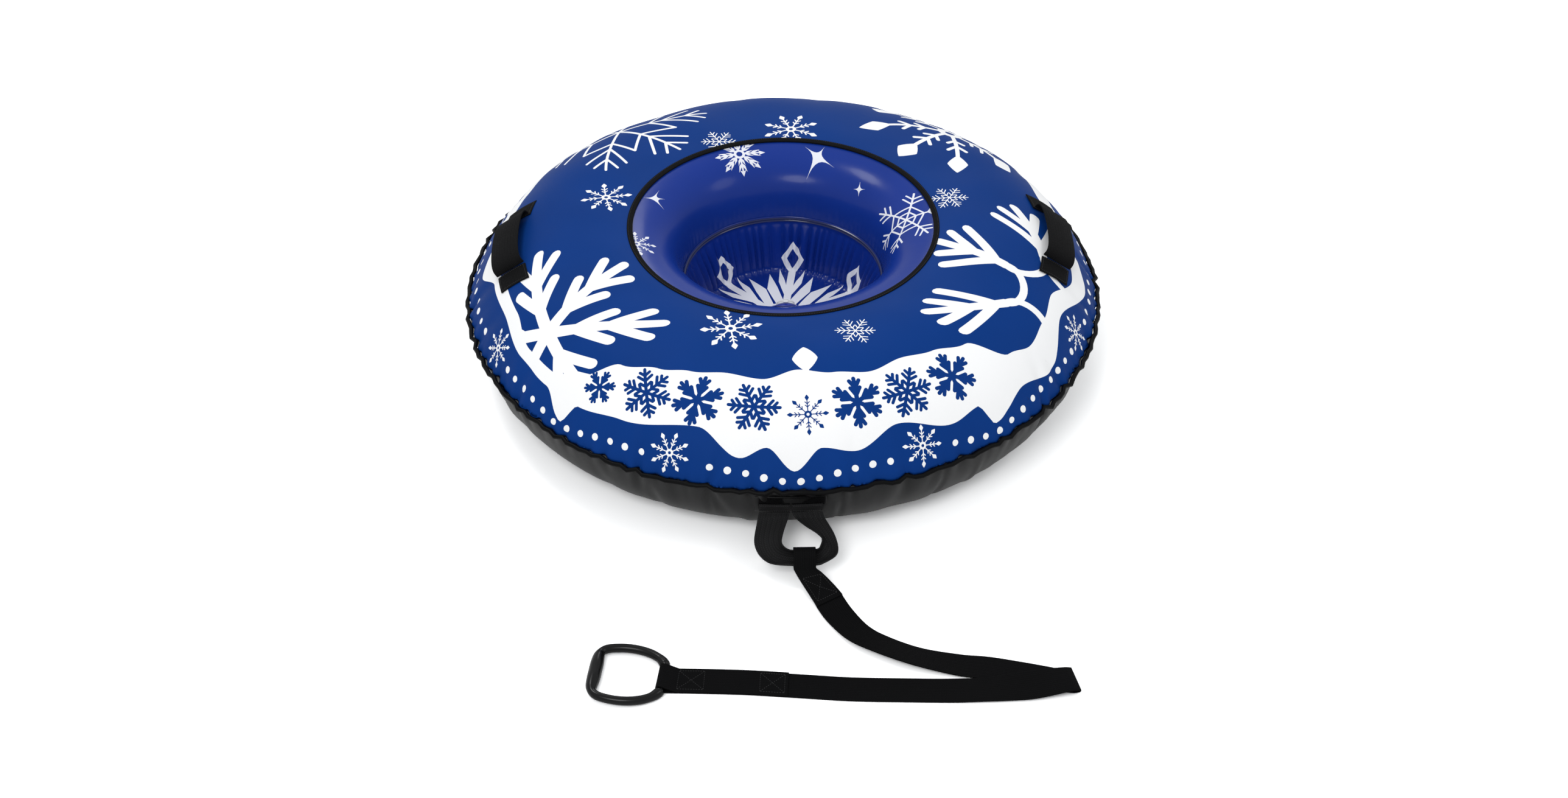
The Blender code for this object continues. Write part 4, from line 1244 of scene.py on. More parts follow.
def on_flap(at, side):
    """A place and normal on the strap's sewn end: a length along, a share of half its width."""
    row = read_at(at, route_lengths, route)
    middle, across, half, _, _ = strap_station(row, half_at(at))
    ahead = Vector((-across.y, across.x, 0)).normalized()
    up = across.cross(ahead).normalized()
    up = up if up.z > 0 else -up
    return middle + across * side * half + up * FLAP_TOP, up


def box_lines(start, end):
    """A box of stitching, with a cross in it, between two lengths along the strap."""
    ats = np.linspace(start, end, 24)
    shares = np.linspace(-BOX_SIDE, BOX_SIDE, 24)
    lines = [[on_flap(at, side) for at in ats] for side in (-BOX_SIDE, BOX_SIDE)]
    lines += [[on_flap(at, share) for share in shares] for at in (start, end)]
    for turned in (shares, -shares):
        lines.append([on_flap(at, share) for at, share in zip(ats, turned)])
    return lines


boxes = box_lines(0.018, 0.060)
boxes += box_lines(strap_length - 0.064, strap_length - 0.024)
boxes += box_lines(strap_length - 0.188, strap_length - 0.150)
stitch_row("strap_stitches", boxes, 0.0040, "leash")

# %% [markdown]
# ## The tow loop and what it is sewn to
#
# A glossy vinyl patch is welded under the front of the seam, and two tabs of webbing are sewn
# on it. The loop hangs from the tabs: its two legs lean apart and its bight rolls up into a
# bundle where the strap's eye grips it. Each station says how far the width is rolled there.

# %% The loop
loop = laid_webbing(loop_stations(0.0035), 16, WEBBING_THICKNESS)
finished(loop, "loop", [loop_webbing], "loop", "tow_loop")


# %% Patches that follow the tube
def shell_point(section, arc, angle, lift):
    """A point of the tube at a distance along a section and a turn, raised by lift."""
    radius, height = section.point(arc, lift)
    return Vector((radius * math.cos(angle), radius * math.sin(angle), height))


def beside_line(section, arc, angle, offset, lift):
    """A point at a straight distance beside a line up the tube."""
    radius, _ = section.point(arc, lift)
    return shell_point(section, arc, angle + math.asin(offset / radius), lift)


def shell_patch(section, arc, angle, offset, size, lift, thickness, cells, bevel=0.0005):
    """A rectangle of cloth on the tube: its size and its cells are along and up. Its underside
    is at lift."""
    length, width = size
    piece, shares, sides = grid(*cells)
    points, places = [], []
    for share, side in zip(shares, sides):
        up, along = side * width / 2, share * length
        place = beside_line(section, arc - up, angle, offset + along - length / 2, lift)
        points.append(tuple(place))
        places.append((up, along))
    move_points(piece, points)
    write_uv(piece, np.array(places))
    return thickened(piece, thickness, 1, bevel)


def sewn_line(section, places, angle, low):
    """Points and normals for stitches, from (arc, offset), on cloth whose top is at low."""
    line = []
    for arc, offset in places:
        point = beside_line(section, arc, angle, offset, low)
        line.append((point, beside_line(section, arc, angle, offset, low + 0.002) - point))
    return line


FRONT = -math.pi / 2
BASE_LIFT = BASE_THICKNESS / 2 + GAP
PATCH_TOP_ARC = 0.012
PATCH_HEIGHT = 0.042
PATCH_WIDTH = 0.116
PATCH_THICKNESS = 0.0008
TAB_TOP_ARC = 0.030
TAB_HEIGHT = 0.020
TAB_SPACING = 0.0525
patch = shell_patch(lower, PATCH_TOP_ARC + PATCH_HEIGHT / 2, FRONT, 0, (PATCH_WIDTH, PATCH_HEIGHT),
                    BASE_LIFT, PATCH_THICKNESS, (40, 16), 0.0003)
finished(patch, "tow_vinyl", [patch_vinyl], "tube", "tow_patch")
tab_lift = BASE_LIFT + PATCH_THICKNESS + GAP
tab_seams = []
for name, side in (("left", -1), ("right", 1)):
    middle = side * TAB_SPACING / 2
    tab = shell_patch(lower, TAB_TOP_ARC + TAB_HEIGHT / 2, FRONT, middle,
                      (WEBBING_WIDTH, TAB_HEIGHT), tab_lift, WEBBING_THICKNESS, (16, 8))
    node = name + "_tow_tab"
    finished(tab, name + "_tab", [loop_webbing], "tube", node)
    across = middle + np.linspace(-0.46, 0.46, 16) * WEBBING_WIDTH
    for arc in (TAB_TOP_ARC + 0.003, TAB_TOP_ARC + TAB_HEIGHT - 0.003):
        places = [(arc, offset) for offset in across]
        tab_seams.append(sewn_line(lower, places, FRONT, tab_lift + WEBBING_THICKNESS))
stitch_row("tab_stitches", tab_seams, 0.0036, "tube")

# %% [markdown]
# ## The lower panel
#
# The black panel runs from the seam down the side, over the ground and across under the seat.
# It is walked as a ring of edges: each step extrudes the ring, scales it and lifts it to the
# next row of the section. The gathers and some longer soft creases are then pushed in.

# %% Rings walked along a section
def walked(rows, columns, close=False):
    """A ring of edges extruded from row to row of radius and height."""
    radius, height = rows[0]
    bpy.ops.mesh.primitive_circle_add(vertices=columns, radius=radius, location=(0, 0, 0))
    piece = bpy.context.object
    bpy.ops.object.mode_set(mode="EDIT")
    bpy.ops.mesh.select_all(action="SELECT")
    bpy.ops.transform.translate(value=(0, 0, height))
    for target, level in rows[1:]:
        bpy.ops.mesh.extrude_region_move(TRANSFORM_OT_translate={"value": (0, 0, level - height)})
        share = target / radius
        bpy.ops.transform.resize(value=(share, share, 1), center_override=(0, 0, 0))
        radius, height = target, level
    if close:
        bpy.ops.mesh.merge(type="CENTER")
    bpy.ops.mesh.select_all(action="SELECT")
    bpy.ops.mesh.remove_doubles(threshold=1e-6)
    bpy.ops.object.mode_set(mode="OBJECT")
    return piece


def face_out(piece, outward):
    """Turn the faces of an open sheet so that they point the way that outward says."""
    edit(piece, bpy.ops.mesh.normals_make_consistent, inside=False)
    score = sum(p.normal.dot(Vector(outward(p.center))) * p.area for p in piece.data.polygons)
    if score < 0:
        edit(piece, bpy.ops.mesh.flip_normals)


print("walking helpers ready")


# %% The lower panel
LOWER_CREASES = []
CREASE_REACH = 0.050
SEAM_ZONE = 0.010
WAVE_ZONE = 0.020
turn = 0.0
while turn < 2 * math.pi - 0.04:
    LOWER_CREASES.append((
        turn,
        draw.uniform(-0.0048, 0.0036),
        draw.uniform(0.005, 0.017),
        draw.uniform(0.02, 0.09),
    ))
    turn += draw.uniform(0.05, 0.12)


def lower_creases(turns, distances):
    """Long soft creases down the side: each is its turn, depth, width and distance."""
    pushed = np.zeros_like(turns)
    for turn, depth, width, middle in LOWER_CREASES:
        across = OUTER * round_difference(turns, turn) / width
        along = (distances - middle) / CREASE_REACH
        pushed += depth * np.exp(-across**2) * np.exp(-along**2)
    return pushed


def lay_on_tube(turns, section, arcs, distances, lift):
    """Points on a section at turns round the tube; near the seam the cloth moves straight in."""
    drawn = gathers(turns, distances)
    near = np.exp(-distances / SEAM_ZONE)
    radius, height = section.at(arcs, lift - drawn * (1 - near))
    waves = seam_rise(turns) * np.exp(-distances / WAVE_ZONE)
    return around(turns, radius - drawn * near, height + waves)


side_arcs = np.concatenate((np.linspace(0, 0.024, 8), np.linspace(0.024, lower.length, 26)[1:]))
flat_rows = [(radius, REST_LEVEL) for radius in (0.38, 0.32, 0.25, 0.17, 0.09, 0.004)]
base = walked([lower.point(arc) for arc in side_arcs] + flat_rows, 960, close=True)
points = points_of(base)
turns, radii = turns_of(points)
on_side = (radii > REST + 0.0005) & (points[:, 2] > REST_LEVEL + 1e-5)
arcs = np.interp(-points[:, 2], -lower.points[:, 1], lower.arcs)
moved = lay_on_tube(turns, lower, arcs, arcs, lower_creases(turns, arcs))
moved[:, 2] = np.maximum(moved[:, 2], REST_LEVEL)
face_out(base, lambda p: (p[0], p[1], -0.3))
run = np.where(on_side, arcs, lower.length + REST - radii)
write_uv(base, np.stack((turns * OUTER, run), 1), 2 * math.pi * OUTER)
move_points(base, np.where(on_side[:, None], moved, points))
modify(base, "SOLIDIFY", thickness=BASE_THICKNESS, offset=-1)
smooth(base, 60)
finished(base, "lower_panel", [black_coat], "tube", "bottom_cover")

# %% [markdown]
# ## The printed upper panel
#
# The upper panel is laid out flat as a wide ring: its inner edge is the hole and its outer
# edge the seam. On that flat ring the print is drawn at true scale: flakes on the blue, a
# white drift of snow that runs round the tube above the seam, and a row of dots under it.

# %% Where the flakes lie
PRINT_MARGIN = 0.0022


def laid_print(shapes, start, section, turn_deg, arc, step):
    """Shapes about (turn, arc) of a section, on the flat ring that starts at a radius."""
    laid = []
    for outline, ink in shapes:
        points = split_edges(outline, step)
        arcs = np.clip(arc + points[:, 1], PRINT_MARGIN, section.length - PRINT_MARGIN)
        radii, _ = section.at(arcs)
        laid.append((around(math.radians(turn_deg) + points[:, 0] / radii, start + arcs), ink))
    return laid


def print_on_cover(shapes, turn_deg, arc):
    """Add shapes to the cover's print, at a turn and a distance from the hole."""
    cover_print.extend(laid_print(shapes, HOLE, cover, turn_deg, arc, EDGE_STEP))


cover_print = []
print_on_cover(frond(0.195, -14), -147.25, 0.217)
print_on_cover(fan(0.230, 9.6), -20.85, 0.2295)
print_on_cover(feather(0.158, -7), 131.3, 0.189)
print_on_cover(lantern(0.163, -3.5), 45.7, 0.195)
for turn_deg, arc, size in ((164.75, 0.059, 0.046), (86, 0.038, 0.052), (-107, 0.055, 0.052)):
    print_on_cover(crystal(size, 20), turn_deg, arc)
for turn_deg, radius in ((-70.5, CREST + 0.015), (13, 0.302), (113, 0.283)):
    print_on_cover(lace(0.034, turn_deg, 0.95), turn_deg, cover.arc_of(radius))
print(len(cover_print), "inked shapes in the flakes")

# %% The drift of snow and the dots
DRIFT_LOW = [
    (-177.3, .052), (-171.3, .081), (-160.2, .085), (-148.9, .066), (-139.9, .059), (-133.9, .021),
    (-131.5, .058), (-121.7, .069), (-107.1, .091), (-98.9, .050), (-94.2, .069), (-89.3, .031),
    (-84.4, .067), (-78.3, .056), (-69.8, .086), (-59.4, .058), (-53.4, .067), (-51.2, .028),
    (-42.2, .056), (-34.2, .040), (-22.4, .085), (-8.8, .044), (2, .070), (14, .088), (24, .060),
    (32, .066), (35, .030), (38, .062), (52, .086), (63, .055), (71, .064), (75, .029), (79, .066),
    (92, .084), (103, .054), (112, .062), (115, .030), (119, .064), (134, .088), (147, .060),
    (155, .066), (158, .034), (162, .058), (172, .076),
]
DRIFT_HIGH = [
    (-177, .088), (-168, .108), (-158, .108), (-148, .086), (-140, .084), (-134, .106),
    (-127, .152), (-119, .170), (-112, .181), (-104, .190), (-96, .184), (-88, .204), (-80, .192),
    (-72, .182), (-64, .192), (-56, .184), (-48, .168), (-41, .112), (-35, .098), (-28, .108),
    (-20, .118), (-10, .082), (2, .100), (15, .120), (28, .096), (42, .104), (55, .120),
    (68, .094), (82, .108), (95, .118), (108, .092), (122, .108), (136, .122), (150, .096),
    (164, .104), (175, .104),
]
HEM_HEIGHT = 0.0004
DOT_STEP = 0.0300
DOT_HEIGHT = 0.0300
DOT_DIP = 0.0165
DOT_DIP_DEG = 7.0
DRIPS = (-133.9, -89.3, -51.2, 35, 75, 115, 158)
BAND_START = -156.3
BAND_STEP = 45
BAND_CLEAR = 4.3


def edge_heights(rows, turns_deg):
    """Heights above the seam on a soft line through rows of (turn, height), round the tube."""
    places, heights = np.array(rows).T
    places = np.concatenate((places - 360, places, places + 360))
    heights = np.tile(heights, 3)
    share = np.searchsorted(places, turns_deg) - 1
    t = (turns_deg - places[share]) / (places[share + 1] - places[share])
    soft = t * t * (3 - 2 * t)
    return heights[share] * (1 - soft) + heights[share + 1] * soft


def at_height(turns_deg, heights):
    """Flat points of the cover at heights above the seam."""
    return around(np.radians(turns_deg), cover_reach - heights)


def beyond(turn_deg, other_deg, period=360):
    """The signed difference of two turns, to the nearest of the places a period apart."""
    return (turn_deg - other_deg + period / 2) % period - period / 2


cover_reach = HOLE + cover.length
drift_turns = np.arange(-180, 180, 0.6)
drift_turns = np.append(drift_turns, drift_turns[-1] + 0.6)
for start in range(0, 600, 60):
    span = drift_turns[start:start + 61]
    hem = at_height(span, HEM_HEIGHT)
    low = at_height(span, edge_heights(DRIFT_LOW, span))
    high = at_height(span, edge_heights(DRIFT_HIGH, span))
    cover_print.append((np.concatenate((hem, low[::-1])), 0))
    cover_print.append((np.concatenate((low, high[::-1])), 1))
dots = round(2 * math.pi * OUTER / DOT_STEP)
for i in range(dots):
    turn_deg = 360 * (i + 0.3) / dots - 180
    from_drip = min(abs(beyond(turn_deg, drip)) for drip in DRIPS)
    if abs(beyond(turn_deg, BAND_START, BAND_STEP)) < BAND_CLEAR:
        continue
    height = DOT_HEIGHT - DOT_DIP * math.exp(-((from_drip / DOT_DIP_DEG) ** 2))
    size = 0.0062 if i % 2 else 0.0056
    print_on_cover([(spot(size, 14), 1)], turn_deg, cover.length - height)
for i in range(360 // BAND_STEP):
    print_on_cover(crystal(0.034, 10), BAND_START + BAND_STEP * i, cover.length - 0.041)
print(len(cover_print), "inked shapes on the cover")

# %% The snow bank in front
BANK = [
    (-128.8, 0.103), (-119.0, 0.124), (-108.5, 0.134), (-97.0, 0.134),
    (-76.5, 0.134), (-66.0, 0.132), (-55.5, 0.130),
]


def left_blue(shapes):
    """The same shapes with cloth and ink changed over, for flakes in the white drift."""
    return [(points, 1 - ink) for points, ink in shapes]


stem = (stroke((0, -0.02), (0, 0.05), 0.009), 1)
bulb = (blob((0, -0.024), 0.0260, 0.0208, 1.3, 28), 1)
print_on_cover([stem, bulb], -86.0, cover.length - 0.202)
for i, (turn_deg, height) in enumerate(BANK):
    size = 0.043 if i else 0.029
    flake = lace(size, 30, 2.3) if i % 2 else frond(size, 4, 1.55)
    print_on_cover(left_blue(flake), turn_deg, cover.length - height)
print_on_cover(left_blue(crystal(0.034)), -86.5, cover.length - 0.122)
print(len(cover_print), "shapes with the bank")

# %% Cut the upper panel
ground = np.concatenate((
    rings_of([HOLE], 480),
    rings_of(np.arange(HOLE + 0.008, cover_reach - 0.028, 0.0102), 400),
    rings_of(np.arange(cover_reach - 0.024, cover_reach - 0.002, 0.0040), 840),
    rings_of([cover_reach], 960),
))


def lay_cover(flat):
    """Flat points of the cover on the tube; it swells a little beyond the hole's tape."""
    turns, reach = turns_of(flat)
    arcs = np.clip(reach - HOLE, 0, cover.length)
    at_rim = np.clip(arcs / 0.045, 0, 1)
    lift = swell(turns, arcs) * at_rim * at_rim
    return lay_on_tube(turns, cover, arcs, cover.length - arcs, lift)


upper = printed_mesh("upper_panel", ground, cover_print, lay_cover, HOLE)
modify(upper, "SOLIDIFY", thickness=COVER_THICKNESS, offset=-1)
finished(upper, "upper_panel", [cover_cloth, cover_ink], "tube", "top_cover")

# %% [markdown]
# ## The piping and the tape round the hole
#
# The piping is a cord in a vinyl sleeve, caught in the seam. A torus is moved onto the seam
# line, so it dips into every pinch with the cloth. The hole's edge is bound with a folded
# tape, walked as a thin U round the cloth's edge, with a line of stitches through it.

# %% The piping
PIPING = 0.0040
PIPING_GAP = 0.0009
bpy.ops.mesh.primitive_torus_add(
    major_segments=1440, minor_segments=12, major_radius=OUTER, minor_radius=PIPING)
piping = bpy.context.object
points = points_of(piping)
turns, radii = turns_of(points)
minor = np.arctan2(points[:, 2], radii - OUTER)
drawn = gathers(turns, np.zeros_like(turns))
plump = PIPING * (1 + 0.03 * np.sin(PUCKERS * turns + 0.7))
radius = OUTER + PIPING_GAP + PIPING - drawn + plump * np.cos(minor)
height = SEAM + seam_rise(turns) + plump * np.sin(minor)
move_points(piping, around(turns, radius, height))
write_uv(piping, np.stack((turns * OUTER, minor * PIPING), 1), 2 * math.pi * OUTER)
smooth(piping, 80)
finished(piping, "piping", [piping_vinyl], "tube", "seam_piping")

# %% The tape round the hole
TAPE = 0.0008
TAPE_WIDTH = 0.0088
TAPE_STITCH = 0.0066
HALF_FOLD = COVER_THICKNESS / 2 + GAP + TAPE
edge = np.array(cover.point(0.0))
along = np.array(cover.point(TAPE_WIDTH)) - edge
along = along / np.linalg.norm(along)
above = np.array((-along[1], along[0]))


def on_tape(reach, height):
    """A place beside the cover's edge: how far from the hole and how far above the cloth."""
    return edge + along * reach + above * height


outline = [on_tape(TAPE_WIDTH, -0.0006)]
outline += [on_tape(reach, -HALF_FOLD) for reach in (TAPE_WIDTH, 0.003)]
for angle in np.radians(np.linspace(-90, -270, 9)):
    outline.append(on_tape(0.9 * HALF_FOLD * math.cos(angle), HALF_FOLD * math.sin(angle)))
for reach, bump in ((0.0022, 0.00018), (0.0045, 0.00022), (TAPE_STITCH, 0.00010),
                    (TAPE_WIDTH - 0.0003, 0.0), (TAPE_WIDTH, -0.0004)):
    outline.append(on_tape(reach, HALF_FOLD + bump))
outline += [on_tape(TAPE_WIDTH, 0.0006), outline[0]]
tape = walked([tuple(p) for p in outline], 480)


def from_fold(place):
    """Which way is away from the middle of the folded tape."""
    beyond_fold = math.hypot(place[0], place[1]) - HOLE - 0.003
    return (place[0] * beyond_fold, place[1] * beyond_fold, (place[2] - edge[1]) * 0.2)


face_out(tape, from_fold)
points = points_of(tape)
turns, radii = turns_of(points)
write_uv(tape, np.stack((turns * HOLE, points[:, 2] * 3 + radii), 1), 2 * math.pi * HOLE)
smooth(tape, 50)
finished(tape, "rim_tape", [tape_cloth], "tube", "rim_binding")
seat_at = on_tape(TAPE_STITCH, HALF_FOLD + 0.00012)
stitch_line = []
for turn in np.linspace(0, 2 * math.pi, 361):
    x, y = math.cos(turn), math.sin(turn)
    stitch_line.append([(x * r, y * r, z) for r, z in (seat_at, above)])
stitch_row("rim_stitches", [stitch_line], 0.0042, "tube")

# %% [markdown]
# ## The air chamber
#
# The chamber is one welded ring of film. Only its wall in the hole shows, with a print of
# stars and flakes, but it is a closed body, so the whole ring is made: it is cut from a flat
# ring whose inner and outer edges are the same weld. Where the panels cover it, it stays a
# few millimetres inside, so that their pinches have room.

# %% The chamber's section and print
FILM_STEP = 0.004
VALVE_ARC = 0.070
NECK = 0.0153
TUCK = 0.0055
under = bezier(UNDER_CURVE, np.linspace(0, 1, 160))
inset_top = top_line.raised(np.linspace(-LAYER, -0.009, len(top_line.points)))
inset_low = lower.raised(np.linspace(-0.009, -LAYER, len(lower.points)))
tip = np.array([(OUTER - 0.0165, SEAM)])
chamber = Section(np.concatenate((
    wall.points[:-1], inset_top.points[:-4], tip, inset_low.points[4:], under,
)))
chamber_reach = WELD + chamber.length
film_print = []
for turn_deg, arc, shapes in (
    (73.25, 0.127, spark([(0.035, 34), (0.026, 105), (0.040, 205), (0.054, 282)], 0.17)),
    (46.5, 0.088, spark([(0.022, 65), (0.013, 153), (0.018, 247), (0.014, 343)])),
    (158.0, 0.137, spark([(0.030, 176), (0.024, 235), (0.037, 296), (0.020, 60)])),
    (107.75, 0.136, burst(0.047, 5)),
    (7.75, 0.109, lattice(0.073)),
    (-168.6, 0.151, crystal(0.036)),
    (-60.0, 0.085, spark([(0.026, 80), (0.018, 170), (0.030, 260), (0.018, 350)])),
    (-125.0, 0.080, spark([(0.020, 90), (0.014, 180), (0.024, 270), (0.014, 0)])),
    (-90.0, VALVE_ARC, [(spot(NECK + 0.0004, 40), -1)]),
):
    film_print += laid_print(shapes, WELD, chamber, turn_deg, arc, FILM_STEP)
ground = np.concatenate((
    rings_of([WELD], 240),
    rings_of(np.arange(WELD + 0.005, WELD + 0.165, 0.0065), 360),
    rings_of(np.arange(WELD + 0.172, chamber_reach - 0.020, 0.019), 240),
    rings_of([chamber_reach], 240),
))


def lay_chamber(flat):
    """Flat points of the chamber on its section, which is tucked in under the panels."""
    turns, reach = turns_of(flat)
    arcs = np.clip(reach - WELD, 0, chamber.length)
    puckered = np.exp(-arcs / 0.016) * 0.0007 * np.sin(96 * turns + 1.7 * np.sin(9 * turns))
    soft = 0.0012 * np.sin(5 * turns + 1.0) * np.exp(-(((arcs - 0.08) / 0.04) ** 2))
    ends = np.clip(arcs / 0.012, 0, 1) * np.clip((chamber.length - arcs) / 0.012, 0, 1)
    tucked = np.clip((arcs - rim_arc - 0.004) / 0.030, 0, 1)
    tucked *= np.clip((wall.length + 0.15 - arcs) / 0.15, 0, 1)
    radius, height = chamber.at(arcs, (soft + puckered) * ends - TUCK * tucked)
    return around(turns, radius, height)


tube = printed_mesh("air_chamber", ground, film_print, lay_chamber, WELD)
edit(tube, bpy.ops.mesh.remove_doubles, threshold=0.0002)
modify(tube, "SOLIDIFY", thickness=FILM_THICKNESS, offset=-1)
finished(tube, "air_chamber", [air_film, film_ink], "tube", "inner_tube")

# %% [markdown]
# ## The seat
#
# The seat is a disc of film welded into the chamber's hole. It is larger than the hole's
# floor, so its side gathers into fine upright pleats. The print spreads from the floor up the
# side, so the flake's diamonds stand upright between the pleats.

# %% The seat's section, pleats and print
FLOOR = 0.061
FLANGE = 0.1751
WALL_FOOT = np.array((0.1480, 0.071))
WALL_HEAD = np.array((FLANGE - 0.0016, 0.146))
SEAT_TURN = math.radians(82.0 - 90.0)
PLEATS = 68
PLEAT_DEPTH = 0.0095
seat_points = [(0.0, FLOOR), (0.05, FLOOR), (0.10, FLOOR)]
for a in np.linspace(0, 1.2, 12):
    seat_points.append((0.135 + 0.013 * math.sin(a), FLOOR + 0.011 * (1 - math.cos(a))))
seat_points += [WALL_FOOT + (WALL_HEAD - WALL_FOOT) * share for share in (0.12, 0.4, 0.7, 1.0)]
seat_points += [(FLANGE, 0.149), (FLANGE, 0.161)]
seat_line = Section(seat_points)
seat_reach = seat_line.length


def blades(radius):
    """The seat's flake: seven hollow diamonds on stalks, with two pairs of leaves under each."""
    arm = [(stroke((0, 0.20), (0, 0.74), 0.070), 1)]
    arm.append((blob((0, 0.874), 0.178, 0.124, 1.06, 20), 1))
    arm.append((blob((0, 0.880), 0.100, 0.062, 1.06, 12), 0))
    arm += leaves([
        [(0, 0.40), (0.055, 0.60), (0.122, 0.760), (0.110, 0.57), (0.03, 0.36)],
        [(0, 0.20), (0.110, 0.48), (0.210, 0.680), (0.205, 0.44), (0.06, 0.16)],
    ])
    return hub(radius, 0.24, 0.14, (36, 28)) + bent(arm, 7, radius)


turned = np.array((
    (math.cos(SEAT_TURN), math.sin(SEAT_TURN)),
    (-math.sin(SEAT_TURN), math.cos(SEAT_TURN)),
))
seat_print = [(split_edges(p, FILM_STEP) @ turned, ink) for p, ink in blades(0.190)]
ground = np.concatenate((
    [(0.0, 0.0)],
    rings_of(np.arange(0.012, 0.12, 0.012), 90),
    rings_of(np.arange(0.126, seat_reach - 0.002, 0.0045), 720),
    rings_of([seat_reach], 720),
))


def lay_seat(flat):
    """Flat points of the seat on its section: slack on the floor, pleated up the side."""
    turns, reach = turns_of(flat)
    arcs = np.minimum(reach, seat_reach)
    height_share = np.clip((arcs - 0.132) / (seat_reach - 0.014 - 0.132), 0, 1)
    deep = np.sin(math.pi * height_share) ** 0.8
    vary = 0.70 + 0.30 * np.sin(3 * turns + 0.9) * np.sin(8 * turns + 0.5)
    phase = PLEATS * turns + 2.2 * np.sin(6 * turns) + 1.1 * np.sin(17 * turns)
    pleat = (np.abs(np.sin(phase / 2)) ** 0.8 - 0.35) * PLEAT_DEPTH * vary
    slack = 0.0006 * np.sin(4 * turns + 60 * arcs) * np.clip(arcs / 0.05, 0, 1)
    radius, height = seat_line.at(arcs, pleat * deep + slack * (1 - height_share))
    return around(turns, np.where(arcs < 1e-6, 0, radius), height)


seat = printed_mesh("seat", ground, seat_print, lay_seat)
modify(seat, "SOLIDIFY", thickness=FILM_THICKNESS, offset=0)
finished(seat, "seat", [seat_film, film_ink], "tube", "seat_floor")

# %% [markdown]
# ## The weld
#
# A heated ring presses the seat's flange onto the chamber. It leaves a strip with two raised
# lines, one at each edge of the tool.

# %% The weld strip, from heights and depths of its profile
WELD_PROFILE = [
    (0.0000, 0.0000), (0.0003, 0.0010), (0.0014, 0.0026), (0.0026, 0.0008), (0.0034, 0.0005),
    (0.0046, 0.0005), (0.0054, 0.0008), (0.0066, 0.0026), (0.0077, 0.0010), (0.0080, 0.0000),
]
strip_radius = FLANGE - FILM_THICKNESS / 2 - GAP
rows = [(strip_radius - depth, WELD_HEIGHT - 0.004 + rise) for rise, depth in WELD_PROFILE]
weld = walked(rows + [rows[0]], 360)
face_out(weld, lambda p: (-p[0], -p[1], 0))
points = points_of(weld)
turns, radii = turns_of(points)
write_uv(weld, np.stack((turns * WELD, points[:, 2]), 1), 2 * math.pi * WELD)
smooth(weld, 60)
# Its film is painted darker than the chamber's, as shade along the weld's lines.
finished(weld, "weld_strip", [weld_film], "tube", "seat_weld")

# %% [markdown]
# ## The grips
#
# Each grip is a wide strap that arches off the tube between two sewn patches. It leans
# outwards and bows, and its edges curl a little towards the hand. The patches are squares of
# the same webbing, sewn round the edge with a box of stitches.

# %% The grips and their patches
HANDLE_ARC = 0.165
GRIP_SPAN = 0.146
GRIP_WIDTH = 0.058
GRIP_THICKNESS = 0.0025
GRIP_RISE = 0.0195
GRIP_LEAN = math.radians(13)
GRIP_CURL = 0.0022
GRIP_LENGTH = 0.175
PAD_LENGTH = 0.042
PAD_THICKNESS = 0.0020
PAD_LIFT = COVER_THICKNESS / 2 + GAP
PAD_CORNERS = [(-0.84, -0.88), (0.84, -0.88), (0.84, 0.88), (-0.84, 0.88), (-0.84, -0.88)]
grip_lift = PAD_LIFT + 0.0010 + GRIP_THICKNESS / 2
mid_radius, mid_height = top_line.point(HANDLE_ARC)
normal = [float(x) for x in read_at(HANDLE_ARC, top_line.arcs, top_line.normals)]
half_chord = GRIP_SPAN / 2
root_turn = math.asin(half_chord / mid_radius)


def grip_points(shares, sides, chord, beside, rise, down):
    """Points of a grip that arches from one end of its chord to the other, and leans down."""
    points = []
    for share, side in zip(shares, sides):
        turn = math.pi * share
        lean = GRIP_LEAN * math.sin(turn)
        height = GRIP_RISE * max(math.sin(turn), 0) ** 0.55
        middle = chord - beside * half_chord * math.cos(turn)
        middle += (rise * math.cos(lean) + down * math.sin(lean)) * height
        curl = GRIP_CURL * side * side * math.sin(turn) ** 2
        points.append(tuple(middle - down * side * GRIP_WIDTH / 2 - rise * curl))
    return points


for side, name in ((0, "right"), (math.pi, "left")):
    outward = Vector((math.cos(side), math.sin(side), 0))
    beside = Vector((-math.sin(side), math.cos(side), 0))
    rise = outward * normal[0] + UP * normal[1]
    down = outward * normal[1] - UP * normal[0]
    chord = outward * mid_radius * math.cos(root_turn) + UP * mid_height + rise * grip_lift
    piece, shares, sides = grid(48, 12)
    move_points(piece, grip_points(shares, sides, chord, beside, rise, down))
    write_uv(piece, np.stack((sides * GRIP_WIDTH / 2, shares * GRIP_LENGTH), 1))
    thickened(piece, GRIP_THICKNESS, 0, 0.0007)
    node = name + "_grip"
    finished(piece, name + "_handle", [grip_webbing], name + "_handle", node)
    seams = []
    front = -1 if side == 0 else 1
    for where, facing in (("front", front), ("rear", -front)):
        offset = facing * (half_chord + 0.0009 + PAD_LENGTH / 2)
        piece = shell_patch(top_line, HANDLE_ARC, side, offset, (PAD_LENGTH, GRIP_WIDTH),
                            PAD_LIFT, PAD_THICKNESS, (16, 20), 0.0006)
        node = name + "_" + where + "_patch"
        finished(piece, name + "_" + where + "_pad", [grip_webbing], "tube", node)
        for a, b in zip(PAD_CORNERS, PAD_CORNERS[1:]):
            places = [(HANDLE_ARC - y * GRIP_WIDTH / 2, offset + x * PAD_LENGTH / 2)
                      for x, y in np.linspace(a, b, 14)]
            seams.append(sewn_line(top_line, places, side, PAD_LIFT + PAD_THICKNESS))
    stitch_row(name + "_pad_stitches", seams, 0.0036, "tube")

